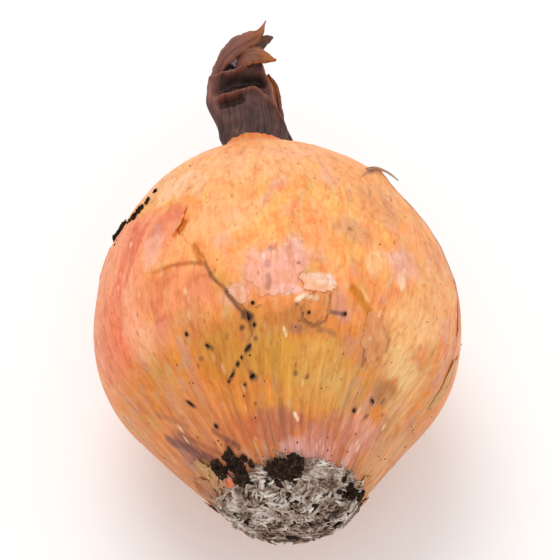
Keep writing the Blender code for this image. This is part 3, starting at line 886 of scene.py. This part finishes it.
def build_collar():
    """The ragged top of the skin, drawn up like a tent against the foot of the neck, highest in front, with a
    painted highlight along the crease at its foot.
    """
    bm, angle, along = tube_sheet(200, 70)
    longitude = np.degrees(angle)
    front = (0.5 + 0.5 * np.cos(angle + 0.05)) ** 2.2
    around = np.stack([np.sin(angle), np.cos(angle), np.zeros(len(angle))], -1)
    top = 44.6 + 2.6 * front + 0.5 * noise_at(around, 0.5, 7.0) + 0.3 * noise_at(around, 0.12, 2.0)
    foot = 38.5 - 5.0 * front
    low = foot - 4.0
    station = low + (top - low) * along
    climb = np.clip((station - foot) / (top - foot), 0.0, 1.0)
    lower = np.minimum(station, foot)
    on_bulb = surface_points(longitude, lower, skin_relief(longitude, lower))
    centre_x, centre_z, half_width = neck_section(top)
    rim = np.stack([centre_x + (half_width + 0.5) * np.sin(angle), top, centre_z + 4.1 * np.cos(angle)], -1)
    points = on_bulb + (rim - on_bulb) * climb[:, None]
    outward = np.stack([np.sin(angle), np.zeros(len(angle)), np.cos(angle)], -1)
    sag = (2.2 - 1.4 * front) * climb * (1.0 - climb) * 4.0
    pleats = 0.16 * noise_at(around, 0.09, 4.0) * np.sqrt(climb)
    sunk = smooth_step((foot - 1.6 - station) / 2.0)
    points += outward * (0.12 - 0.5 * sunk - sag + pleats)[:, None]
    station = np.where(climb > 0.0, station, np.minimum(station, foot))
    color = skin_color(longitude, station, SKIN_PATCHES)
    # Painted highlight: a broken pale line along the crease at the collar's foot.
    broken = 0.3 + 1.5 * noise_at(around, 0.14, 5.0)
    painted_glint = 0.5 * np.exp(-((station - foot - 0.3) / 0.8) ** 2) * front ** 3 * broken
    color += (np.array(hex_color("#FBD6C4")) - color) * np.clip(painted_glint, 0.0, 1.0)[:, None]
    piece = finish_piece("collar_skin_top", bm, points, dry_skin(), ["collar_skin"])
    write_tint(piece.data, color)
    write_grain(piece.data, skin_grain(longitude, station))
    return add_thickness(piece, SKIN_THICKNESS)


def bump_line(side, station, path, half_width, height):
    """A ridge or groove along a path of (side, station) on the sheath's front, in millimetres of s."""
    sides = [point[0] for point in path]
    middle = curve_value(path, side)
    fade = smooth_step((side - sides[0]) / 0.18) * smooth_step((sides[-1] - side) / 0.18)
    return height * fade * np.exp(-((station - middle) / half_width) ** 2)


def build_neck_sheath(settings):
    """The flat sheath of dead leaf bases: ribs along it, and deep folds across where it bends, with painted
    shade in the hollows, lighter raised crests and painted glints in the pocket.
    """
    bm, turn, along = tube_sheet(220, 150, True)
    station = NECK_FOOT + NECK_LENGTH * along
    centre_x, centre_z, half_width = neck_section(station)
    side, face = np.sin(turn), np.cos(turn)
    front = smooth_step((face + 0.1) / 0.5)
    wander = noise_at(np.stack([side * 7.0, station, face], -1), 2.2, 4.0)
    panel = 1.0 - smooth_step((station - 55.0) / 2.0)
    slanted = side * half_width - 0.28 * (station - 50.0)
    ribs = 0.10 * np.sin(slanted * 3.9 + 2.2 * wander) + 0.06 * np.sin(slanted * 9.0 + 3.5 * wander)
    relief = ribs * (0.35 + 0.65 * panel) + 0.3 * wander
    bent = station + 0.7 * wander
    relief += bump_line(side, bent, ((-0.85, 55.8), (-0.4, 56.9), (0.4, 58.4), (0.72, 56.6), (1.0, 51.0)),
                        0.75, 1.1)
    relief += bump_line(side, bent, ((-0.8, 54.6), (-0.4, 55.1), (0.15, 56.4)), 0.6, -0.9)
    uneven = bent + 0.4 * line_noise(side, 0.3, 2.0)
    relief += bump_line(side, uneven, ((-0.85, 59.0), (0.0, 60.6), (0.85, 61.0)), 1.4, -1.9)
    relief += bump_line(side, bent, ((-1.0, 60.8), (-0.5, 62.0), (0.35, 63.8)), 0.65, 1.2)
    relief += bump_line(side, bent, ((-0.75, 63.2), (-0.2, 64.4), (0.35, 66.0)), 0.7, -1.2)
    relief += bump_line(side, bent, ((0.1, 63.4), (0.6, 63.6), (1.0, 63.0)), 0.9, 0.5)
    relief += 0.9 * np.exp(-((side + 0.88) / 0.12) ** 2) * smooth_step((station - 55.0) / 3.0)
    relief += 0.5 * np.exp(-((side - 0.9) / 0.08) ** 2) * smooth_step((station - 52.0) / 3.0)
    relief *= front
    thickness = 3.1 * (1.0 - 0.3 * (station - NECK_FOOT) / NECK_LENGTH)
    thickness = thickness * (1.0 - 0.8 * smooth_step((station - 66.0) / 5.0))
    shift = 0.3 * relief * side
    height = centre_z + face * thickness + relief
    points = np.stack([centre_x + half_width * side + shift, station, height], -1)
    color = np.tile(np.array(settings.sheath_color), (len(station), 1))
    color *= (1.0 + 0.35 * wander)[:, None]
    # Painted shade: the hollows of the folds are darkened towards the fold shade colour by their depth.
    painted_fold_shade = np.clip(-relief / 1.2, 0.0, 1.0) ** 0.7
    # Lighter towards the raised crests of the folds, by their height.
    crest = 0.75 * np.clip((relief - 0.15) / 0.7, 0.0, 1.0)
    amber = 0.75 * smooth_step((side - 0.84) / 0.12) * smooth_step((station - 54.0) / 3.0)
    purple = 0.5 * smooth_step((side - 0.45) / 0.2) * smooth_step((station - 57.0) / 2.0)
    rolled = 0.7 * np.exp(-((side + 0.8) / 0.16) ** 2) * front * smooth_step((station - 52.0) / 5.0)
    # Painted highlight: small bluish-white glints in the pocket above the second ridge.
    glint_side = (side + 0.25 - 0.1 * (station - 64.0)) / 0.2
    painted_glint = np.exp(-glint_side ** 2 - ((station - 64.6) / 1.5) ** 2) * front
    painted_glint *= smooth_step((noise_at(points, 0.7, 2.0) + 0.15) / 0.2)
    for weight, target in ((purple, hex_color("#5C262A")), (painted_fold_shade, settings.fold_shade_color),
                           (crest, settings.crest_color), (rolled, hex_color("#8E6258")),
                           (amber, settings.tip_color), (painted_glint, hex_color("#DAD6EA"))):
        color += (np.array(target) - color) * weight[:, None]
    grain = np.stack([slanted, station, face], -1)
    piece = finish_piece("neck_sheath_folded", bm, points, dead_leaf(), ["neck_sheath"])
    write_tint(piece.data, color)
    write_grain(piece.data, grain)
    return piece


def leaf_strip(name, path, half_widths, turns, cup, replaces, settings, ends=None, slot="leaf_tip"):
    """A thin leaf along a path of (x, station, height over the axis), ragged at its edges.

    The half widths, the turns about the path in degrees and the cup shape its cross-section, and ends
    are its colours at the foot and the tip.
    """
    bm, across, along = grid_sheet(40, 80)
    route, turn = spread_path(path, along), spread_path(turns, along)
    half_width = spread_path(half_widths, along)
    ahead = spread_path(path, np.minimum(along + 0.02, 1.0))
    ahead = ahead - spread_path(path, np.maximum(along - 0.02, 0.0))
    ahead /= np.linalg.norm(ahead, axis=1)[:, None]
    level = np.cross(ahead, (0.0, 0.0, 1.0))
    level /= np.linalg.norm(level, axis=1)[:, None]
    upright = np.cross(level, ahead)
    turn = np.radians(turn)[:, None]
    sideways = level * np.cos(turn) - upright * np.sin(turn)
    outward = upright * np.cos(turn) + level * np.sin(turn)
    side = across * 2.0 - 1.0
    seed = float(len(name))
    frayed = 1.0 + 0.16 * line_noise(along, 0.12, seed) + 0.1 * line_noise(along, 0.04, seed)
    offset = side * half_width * frayed
    fold = cup * (1.0 - side ** 2) + 0.12 * np.sin(side * 9.0 + seed) * np.minimum(half_width, 1.0)
    points = route + sideways * offset[:, None] + outward * fold[:, None]
    points[:, 2] += AXIS_HEIGHT
    foot, tip = [np.array(hex_color(text)) for text in (ends or ("#6A443A", "#9C6036"))]
    color = foot + (tip - foot) * smooth_step((along - 0.35) / 0.6)[:, None]
    edge = 0.5 * smooth_step((np.abs(side) - 0.7) / 0.3) * (slot == "leaf_tip")
    color += (np.array(settings.tip_color) * 0.8 - color) * edge[:, None]
    piece = finish_piece(name, bm, points, dead_leaf(), replaces)
    write_tint(piece.data, color)
    write_grain(piece.data, np.stack([offset, along * 12.0, side], -1))
    return add_thickness(piece, LEAF_THICKNESS)


def spread_path(values, along):
    """Smooth values, or points, spaced evenly from 0 to 1 and read at an array of places."""
    values = np.array(values, float)
    columns = values.reshape(len(values), -1)
    places = np.clip(along, 0.0, 1.0) * (len(values) - 1)
    index = np.minimum(places.astype(int), len(values) - 2)
    part = (places - index)[:, None]
    before, after = columns[np.maximum(index - 1, 0)], columns[np.minimum(index + 2, len(values) - 1)]
    start, end = columns[index], columns[index + 1]
    square = 2.0 * before - 5.0 * start + 4.0 * end - after
    cube = 3.0 * start - before - 3.0 * end + after
    read = 0.5 * (2.0 * start + (end - before) * part + square * part ** 2 + cube * part ** 3)
    return read if values.ndim > 1 else read[:, 0]


def build_leaf_ends(settings):
    """The torn ends of the dead leaves above the sheath and the amber edge behind it."""
    leaf_strip("leaf_fold_top", [(-13.2, 62.0, 5.0), (-12.0, 64.9, 6.2), (-9.3, 67.9, 7.2), (-6.1, 70.1, 7.4),
                                 (-3.9, 72.2, 7.0), (-2.9, 75.1, 6.6)],
               (0.7, 1.5, 2.1, 2.0, 0.9, 0.15), (-10, -5, 5, 10, 15, 20), 0.9, ["leaf_tip_upper"], settings,
               ("#74493E", "#9C5A2C"))
    leaf_strip("leaf_end_middle", [(-6.8, 67.4, 5.8), (-4.8, 69.0, 6.4), (-3.0, 70.4, 6.4),
                                   (-1.1, 71.5, 6.2)],
               (1.6, 1.7, 1.3, 0.35), (10, 20, 30, 40), 0.4, ["leaf_tip_middle"], settings,
               ("#4A2C28", "#66402F"))
    leaf_strip("leaf_end_lower", [(-8.6, 64.6, 5.0), (-6.8, 65.3, 7.2), (-4.8, 65.6, 7.8), (-2.6, 65.1, 7.4),
                                  (-0.4, 64.6, 6.8)],
               (1.8, 2.5, 2.5, 1.5, 0.1), (-20, -15, -5, 0, 0), 0.7, ["leaf_tip_lower"], settings,
               ("#744836", "#A4642E"))
    leaf_strip("leaf_edge_amber", [(3.2, 46.5, 0.2), (0.6, 52.0, 0.6), (-0.4, 57.0, 1.0), (-0.9, 61.0, 1.4),
                                   (-2.4, 64.6, 2.0)],
               (1.0, 1.1, 1.2, 1.1, 0.3), (15, 10, 5, 0, -10), -0.4, ["leaf_edge_back"], settings,
               ("#5A3430", "#A05C28"))


CROWN_RADIUS = 12.4
CROWN_DEPTH = 4.2
CROWN_HEIGHT = AXIS_HEIGHT + 0.9
STRAND_POINTS = 6


def build_root_crown():
    """The lumpy mat that the dried roots make on the root end."""
    bm = bmesh.new()
    bmesh.ops.create_icosphere(bm, subdivisions=6, radius=1.0)
    bmesh.ops.bisect_plane(bm, geom=bm.verts[:] + bm.edges[:] + bm.faces[:], dist=1e-5,
                           plane_co=(0, 0.4, 0), plane_no=(0, 1, 0), clear_outer=True)
    bmesh.ops.holes_fill(bm, edges=[edge for edge in bm.edges if edge.is_boundary], sides=0)
    bmesh.ops.recalc_face_normals(bm, faces=bm.faces)
    ball = vertex_array(bm)
    lumps = 1.0 + 0.1 * noise_at(ball, 0.45, 2.0) + 0.08 * noise_at(ball, 0.16, 6.0)
    lumps = lumps + 0.05 * noise_at(ball, 0.07, 9.0)
    ball = ball * lumps[:, None]
    points = ball * np.array([CROWN_RADIUS, CROWN_DEPTH, CROWN_RADIUS])
    points += np.array([float(axis_lean(np.array(ROOT_END))), ROOT_END - 0.2, CROWN_HEIGHT])
    return finish_piece("root_mat", bm, points, dried_root(), ["root_crown"])


def crown_point(spread, angle, lift):
    """A point on the root crown: spread 0 at its middle and 1 at its rim, lift off its face."""
    drop = math.sqrt(max(0.0, 1.0 - min(1.0, spread) ** 2))
    reach = (CROWN_RADIUS + 0.4 * lift) * spread
    x = float(axis_lean(np.array(ROOT_END))) + reach * math.sin(angle)
    z = CROWN_HEIGHT + reach * math.cos(angle)
    return Vector((x, ROOT_END - 0.2 - CROWN_DEPTH * drop - lift, z))


def strand_curve(name, strands):
    """A mesh of many strands, each a radius and a list of points in millimetres."""
    curve = bpy.data.curves.new(name, "CURVE")
    curve.dimensions = "3D"
    curve.bevel_depth = MM
    curve.bevel_resolution = 0
    curve.use_fill_caps = True
    for radius, strand in strands:
        spline = curve.splines.new("POLY")
        spline.points.add(len(strand) - 1)
        for number, (point, target) in enumerate(zip(strand, spline.points)):
            target.co = (*(point * MM), 1.0)
            target.radius = radius * (1.0 - 0.6 * (number / (len(strand) - 1)) ** 2)
    maker = bpy.data.objects.new(name + "_route", curve)
    bpy.context.scene.collection.objects.link(maker)
    mesh = bpy.data.meshes.new_from_object(maker)
    bpy.data.objects.remove(maker)
    mesh.name = name
    return mesh


def build_root_strands(settings):
    """Short, curled and matted dried roots all over the crown, with a few over its rim."""
    chance = random.Random(11)
    strands = []
    for _ in range(settings.strand_count):
        spread = math.sqrt(chance.random()) * 0.98
        angle = chance.uniform(-math.pi, math.pi)
        heading = chance.uniform(-math.pi, math.pi)
        bend = chance.uniform(-0.6, 0.6)
        lift = chance.uniform(-0.1, 0.7)
        rise = chance.uniform(-0.03, 0.18)
        step = chance.uniform(0.03, 0.075)
        across, along = spread * math.sin(angle), spread * math.cos(angle)
        strand = []
        for _step in range(STRAND_POINTS):
            distance = math.hypot(across, along)
            if distance > 1.03:
                across, along = across / distance * 1.03, along / distance * 1.03
            strand.append(crown_point(math.hypot(across, along), math.atan2(across, along), lift))
            across += step * math.sin(heading)
            along += step * math.cos(heading)
            heading += bend + chance.uniform(-0.5, 0.5)
            lift += rise
        strands.append((chance.uniform(0.2, 0.5), strand))
    for number in range(settings.rim_strand_count):
        longitude = chance.uniform(-180.0, 180.0) if number % 3 else chance.gauss(22.0, 26.0)
        station = chance.uniform(-39.9, -38.2) if number % 3 else chance.uniform(-38.6, -37.0)
        lean = chance.uniform(-9.0, 9.0)
        climb = chance.uniform(0.25, 0.75)
        lift = chance.uniform(0.05, 0.3)
        strand = []
        for _step in range(STRAND_POINTS):
            strand.append(surface_frame(longitude, max(station, ROOT_END + 0.05), lift)[0])
            longitude += lean * 0.5 + chance.uniform(-2.5, 2.5)
            station += climb * chance.uniform(0.2, 1.0)
            lift += chance.uniform(-0.04, 0.08)
        strands.append((chance.uniform(0.12, 0.32), strand))
    mesh = strand_curve("root_strands", strands)
    return piece_from_mesh("root_strands", mesh, dried_root())


def rotate_to(normal):
    return Vector((0, 0, 1)).rotation_difference(normal).to_matrix()


def surface_frame(longitude, station, lift):
    """A point on the bulb and the outward direction there, in millimetres."""
    pair = surface_points(np.array([longitude, longitude], float), np.array([station, station], float),
                          np.array([lift, lift + 1.0]))
    inner, outer = Vector(pair[0]), Vector(pair[1])
    return inner, (outer - inner).normalized()


def add_crumb(bm, centre, normal, sizes, turn, seed, subdivisions=1, rough=0.35):
    """Add a flattened lumpy crumb, sized in millimetres, to a bmesh held in millimetres."""
    crumb = bmesh.ops.create_icosphere(bm, subdivisions=subdivisions, radius=1.0)["verts"]
    matrix = rotate_to(normal) @ Matrix.Rotation(turn, 3, "Z")
    for vertex in crumb:
        bump = noise.noise(vertex.co * 1.4 + Vector((seed, seed * 0.7, -seed)))
        bump += 0.5 * noise.noise(vertex.co * 3.1 + Vector((-seed, seed, seed)))
        vertex.co *= 1.0 + rough * bump
        vertex.co = centre + matrix @ (vertex.co * Vector(sizes))


# Soil lumps on the skin: (longitude, station, across, along, thick).
SHOULDER_SOIL = ((-64.5, 13.0, 0.5, 0.9, 0.35), (-62, 13.9, 0.4, 0.9, 0.3), (-58, 15.4, 0.55, 1.1, 0.4),
                 (-55.5, 16.4, 0.6, 1.2, 0.4), (-53, 17.6, 0.5, 1.1, 0.35), (-50.5, 19.0, 0.35, 0.9, 0.3),
                 (-48, 21.2, 0.3, 0.6, 0.25), (-67, 16.4, 0.9, 1.6, 0.5), (-72, 19.0, 1.1, 1.6, 0.5),
                 (-79, 16.0, 0.8, 1.2, 0.4))
ROOT_SOIL_LEFT = ((-53, -34.6, 0.9, 1.2, 0.5), (-51, -35.6, 0.9, 1.1, 0.5), (-41, -35.2, 0.8, 1.7, 0.6),
                  (-38, -36.6, 1.0, 1.9, 0.7), (-38, -38.4, 1.1, 1.5, 0.9), (-30, -35.2, 0.5, 0.6, 0.4),
                  (-26, -36.3, 0.4, 0.6, 0.3))
ROOT_SOIL_MIDDLE = ((-11, -36.9, 1.3, 1.2, 0.7), (-4, -36.7, 1.5, 1.4, 0.8), (3, -36.9, 1.3, 1.4, 0.8),
                    (-8, -38.2, 1.4, 1.3, 1.0), (1, -38.3, 1.6, 1.4, 1.1), (5, -37.8, 1.0, 1.3, 0.8))
ROOT_SOIL_RIGHT = ((56, -38.0, 0.8, 0.7, 0.6), (66, -38.2, 0.9, 1.0, 0.7), (76, -38.0, 0.8, 1.0, 0.6),
                   (48, -37.4, 0.4, 0.5, 0.3))


def build_soil_lumps(name, lumps, replaces):
    bm = bmesh.new()
    for number, (longitude, station, across, along, thick) in enumerate(lumps):
        for part in range(4):
            off_side, off_along = (noise.noise((number, part * 1.7, k)) * 1.6 for k in (0.3, 5.3))
            centre, normal = surface_frame(longitude + off_side * across * 3.0, station + off_along * along,
                                           0.4 if station < 0 else 0.05)
            share = 1.15 if part == 0 else 0.65
            sizes = across * share, along * share, thick * (0.5 + 0.5 * share)
            add_crumb(bm, centre, normal, sizes, 0.7 * part, 3.0 * number + part + len(name), 4, 0.8)
    points = vertex_array(bm)
    points = points + 0.22 * np.stack([noise_at(points, 0.6, seed) for seed in (1.0, 5.0, 9.0)], -1)
    points[:, 2] = np.maximum(points[:, 2], 0.05)
    return finish_piece(name, bm, points, dried_soil(), replaces)


def build_soil():
    """Black soil dried on the -X shoulder and round the root crown."""
    build_soil_lumps("soil_on_shoulder", SHOULDER_SOIL, ["soil_shoulder"])
    build_soil_lumps("soil_by_roots_left", ROOT_SOIL_LEFT, ["soil_root_left"])
    build_soil_lumps("soil_by_roots_middle", ROOT_SOIL_MIDDLE, ["soil_root_middle"])
    build_soil_lumps("soil_by_roots_right", ROOT_SOIL_RIGHT, ["soil_root_right"])


# Specks at least this dark are crumbs of soil; paler ones are only stains in the skin.
CRUMB_DARKNESS = 0.75


def build_specks(settings):
    """Dark specks of soil and mould stuck to the skin, and crumbs caught in the roots."""
    bm = bmesh.new()
    for number, (longitude, station, half_width, half_length, turn, darkness) in enumerate(SPECKS):
        if darkness < CRUMB_DARKNESS:
            continue
        centre, normal = surface_frame(longitude, station, 0.1)
        if longitude < -22 and station > -18:
            centre += normal * 0.28
        add_crumb(bm, centre, normal, (half_width * 0.5, half_length * 0.8, 0.1), math.radians(turn),
                  1.7 * number, 3, 0.9)
    chance = random.Random(5)
    for number in range(settings.speck_count):
        longitude = chance.gauss(0.0, 75.0)
        station = chance.triangular(-38.0, 34.0, -30.0)
        size = chance.uniform(0.06, 0.15)
        centre, normal = surface_frame(longitude, station, 0.08)
        sizes = size, size * chance.uniform(1.0, 2.2), 0.08
        add_crumb(bm, centre, normal, sizes, chance.uniform(0.0, 3.1), number)
    for number in range(settings.crumb_count):
        spread = math.sqrt(chance.uniform(0.0, 1.0))
        angle = chance.uniform(-math.pi, math.pi) if number % 2 else chance.gauss(0.5, 0.9)
        size = chance.uniform(0.2, 0.75)
        centre = crown_point(spread, angle, chance.uniform(0.0, 0.7))
        add_crumb(bm, centre, Vector((0, -1, 0)), (size, size * chance.uniform(0.7, 1.3), size * 0.6),
                  chance.uniform(0.0, 3.1), number, 2, 0.6)
    return finish_piece("dark_specks", bm, vertex_array(bm), dried_soil())


# --- Stage ----------------------------------------------------------------------------------


def add_area_light(name, location, target, size, power):
    light = bpy.data.lights.new(name, "AREA")
    light.shape = "DISK"
    light.size = size
    light.energy = power
    item = bpy.data.objects.new(name, light)
    item.location = location
    item.rotation_euler = (Vector(target) - Vector(location)).to_track_quat("-Z", "Y").to_euler()
    bpy.context.scene.collection.objects.link(item)


def build_floor():
    bm = bmesh.new()
    bmesh.ops.create_grid(bm, x_segments=1, y_segments=1, size=2.0)
    mesh = bpy.data.meshes.new("floor")
    bm.to_mesh(mesh)
    bm.free()
    material, _tree, shader = new_material("matte_white_card")
    shader.inputs["Base Color"].default_value = (0.93, 0.93, 0.93, 1.0)
    shader.inputs["Roughness"].default_value = 0.9
    shader.inputs["Specular IOR Level"].default_value = 0.1
    mesh.materials.append(material)
    floor = bpy.data.objects.new("floor", mesh)
    bpy.context.scene.collection.objects.link(floor)


def build_camera(settings):
    elevation = math.radians(settings.elevation)
    forward = Vector((0.0, math.cos(elevation), -math.sin(elevation)))
    above = Vector((0.0, math.sin(elevation), math.cos(elevation)))
    centre = Vector((0.0, 0.0, AXIS_HEIGHT * MM))
    target = centre + above * 11.27 * MM + Vector((0.41 * MM, 0.0, 0.0))
    camera = bpy.data.cameras.new("camera")
    camera.lens = settings.lens
    item = bpy.data.objects.new("camera", camera)
    item.location = centre - forward * settings.distance
    item.rotation_euler = (target - item.location).to_track_quat("-Z", "Y").to_euler()
    bpy.context.scene.collection.objects.link(item)
    bpy.context.scene.camera = item


def build_stage(settings):
    """A pale floor, soft studio light and a camera that looks down on the onion."""
    scene = bpy.context.scene
    scene.view_settings.view_transform = "Standard"
    world = bpy.data.worlds.new("soft_studio")
    world.use_nodes = True
    background = world.node_tree.nodes["Background"]
    background.inputs["Color"].default_value = (1.0, 1.0, 1.0, 1.0)
    background.inputs["Strength"].default_value = settings.ambient
    scene.world = world
    build_floor()
    centre = (0.0, 0.0, AXIS_HEIGHT * MM)
    add_area_light("key_light", (-0.12, 0.35, 0.75), centre, 0.5, settings.key_power)
    add_area_light("fill_light", (0.1, -0.7, 0.35), centre, 0.7, settings.fill_power)
    build_camera(settings)


# --- Add-on parts ---------------------------------------------------------------------------


def color_property(name, description, text):
    return FloatVectorProperty(name=name, description=description, subtype="COLOR", size=3, min=0.0, max=1.0,
                               default=hex_color(text))


class OnionSkinSettings(bpy.types.PropertyGroup):
    torn_skin_lift: FloatProperty(name="Torn skin lift", description="Gap under the torn outer skin",
                                  default=0.25 * MM, unit="LENGTH")


class OnionNeckSettings(bpy.types.PropertyGroup):
    sheath_color: color_property("Sheath", "Dead leaf sheath", "#4E322E")
    # Colour of the painted shade in the sheath's folds.
    fold_shade_color: color_property("Fold shade", "Painted shade in the deep folds of the sheath", "#26120D")
    crest_color: color_property("Crests", "Lighter raised crests of the folds", "#7E5040")
    tip_color: color_property("Tips", "Thin torn leaf ends", "#9C5A2A")


class OnionDirtSettings(bpy.types.PropertyGroup):
    strand_count: IntProperty(name="Root strands", description="Dried roots on the crown", default=520, min=1)
    rim_strand_count: IntProperty(name="Rim strands", description="Dried roots over the crown's rim",
                                  default=330, min=0)
    speck_count: IntProperty(name="Specks", description="Small specks scattered on the skin",
                             default=140, min=0)
    crumb_count: IntProperty(name="Crumbs", description="Crumbs of soil caught in the roots",
                             default=90, min=0)


class OnionStageSettings(bpy.types.PropertyGroup):
    lens: FloatProperty(name="Lens", description="Focal length", default=150.0, unit="CAMERA")
    distance: FloatProperty(name="Distance", description="From the camera to the bulb", default=0.478,
                            unit="LENGTH")
    elevation: FloatProperty(name="Elevation", description="Camera's height angle in degrees", default=60.0)
    ambient: FloatProperty(name="Ambient", description="Strength of the light from all round", default=0.84)
    key_power: FloatProperty(name="Key light", description="Main light", default=2.2, unit="POWER")
    fill_power: FloatProperty(name="Fill light", description="Front light", default=1.2, unit="POWER")


class OnionOperator:
    bl_options = {"REGISTER", "UNDO"}


class ONION_OT_bulb(OnionOperator, bpy.types.Operator):
    """Add the bulb in its tight dry skin"""
    bl_idname = "onion.bulb"
    bl_label = "Bulb"

    def execute(self, context):
        build_bulb()
        return {"FINISHED"}


class ONION_OT_torn_skins(OnionOperator, bpy.types.Operator):
    """Add the loose outer skins: the torn red skin, the shoulder flap and the collar"""
    bl_idname = "onion.torn_skins"
    bl_label = "Torn skins"

    def execute(self, context):
        build_torn_skin(context.scene.onion_skin)
        build_shoulder_flap()
        build_wisp(context.scene.onion_neck)
        build_collar()
        return {"FINISHED"}


class ONION_OT_flakes(OnionOperator, bpy.types.Operator):
    """Add the small loose flakes of skin"""
    bl_idname = "onion.flakes"
    bl_label = "Loose flakes"

    def execute(self, context):
        build_flakes()
        return {"FINISHED"}


class ONION_OT_neck(OnionOperator, bpy.types.Operator):
    """Add the dried neck: the folded sheath and the torn leaf ends"""
    bl_idname = "onion.neck"
    bl_label = "Dried neck"

    def execute(self, context):
        build_neck_sheath(context.scene.onion_neck)
        build_leaf_ends(context.scene.onion_neck)
        return {"FINISHED"}


class ONION_OT_roots(OnionOperator, bpy.types.Operator):
    """Add the root crown and its dried roots"""
    bl_idname = "onion.roots"
    bl_label = "Roots"

    def execute(self, context):
        build_root_crown()
        build_root_strands(context.scene.onion_dirt)
        return {"FINISHED"}


class ONION_OT_soil(OnionOperator, bpy.types.Operator):
    """Add the dried soil and the dark specks"""
    bl_idname = "onion.soil"
    bl_label = "Soil and specks"

    def execute(self, context):
        build_soil()
        build_specks(context.scene.onion_dirt)
        return {"FINISHED"}


class ONION_OT_stage(OnionOperator, bpy.types.Operator):
    """Add the floor, the lights and the camera"""
    bl_idname = "onion.stage"
    bl_label = "Stage"

    def execute(self, context):
        build_stage(context.scene.onion_stage)
        return {"FINISHED"}


class ONION_PT_pieces(bpy.types.Panel):
    """Lists the onion's pieces"""
    bl_idname = "ONION_PT_pieces"
    bl_label = "Onion"
    bl_space_type = "VIEW_3D"
    bl_region_type = "UI"
    bl_category = "Onion"

    def draw(self, context):
        for operator in OPERATORS:
            self.layout.operator(operator.bl_idname)


OPERATORS = (ONION_OT_stage, ONION_OT_bulb, ONION_OT_torn_skins, ONION_OT_flakes, ONION_OT_neck,
             ONION_OT_roots, ONION_OT_soil)
SETTINGS = (("onion_skin", OnionSkinSettings), ("onion_neck", OnionNeckSettings),
            ("onion_dirt", OnionDirtSettings), ("onion_stage", OnionStageSettings))


def register():
    for name, group in SETTINGS:
        bpy.utils.register_class(group)
        setattr(bpy.types.Scene, name, PointerProperty(type=group))
    for kind in (*OPERATORS, ONION_PT_pieces):
        bpy.utils.register_class(kind)


def unregister():
    for kind in reversed((*OPERATORS, ONION_PT_pieces)):
        bpy.utils.unregister_class(kind)
    for name, group in reversed(SETTINGS):
        delattr(bpy.types.Scene, name)
        bpy.utils.unregister_class(group)


def main():
    register()
    bpy.ops.onion.stage()
    bpy.ops.onion.bulb()
    bpy.ops.onion.torn_skins()
    bpy.ops.onion.flakes()
    bpy.ops.onion.neck()
    bpy.ops.onion.roots()
    bpy.ops.onion.soil()


if __name__ == "__main__":
    main()
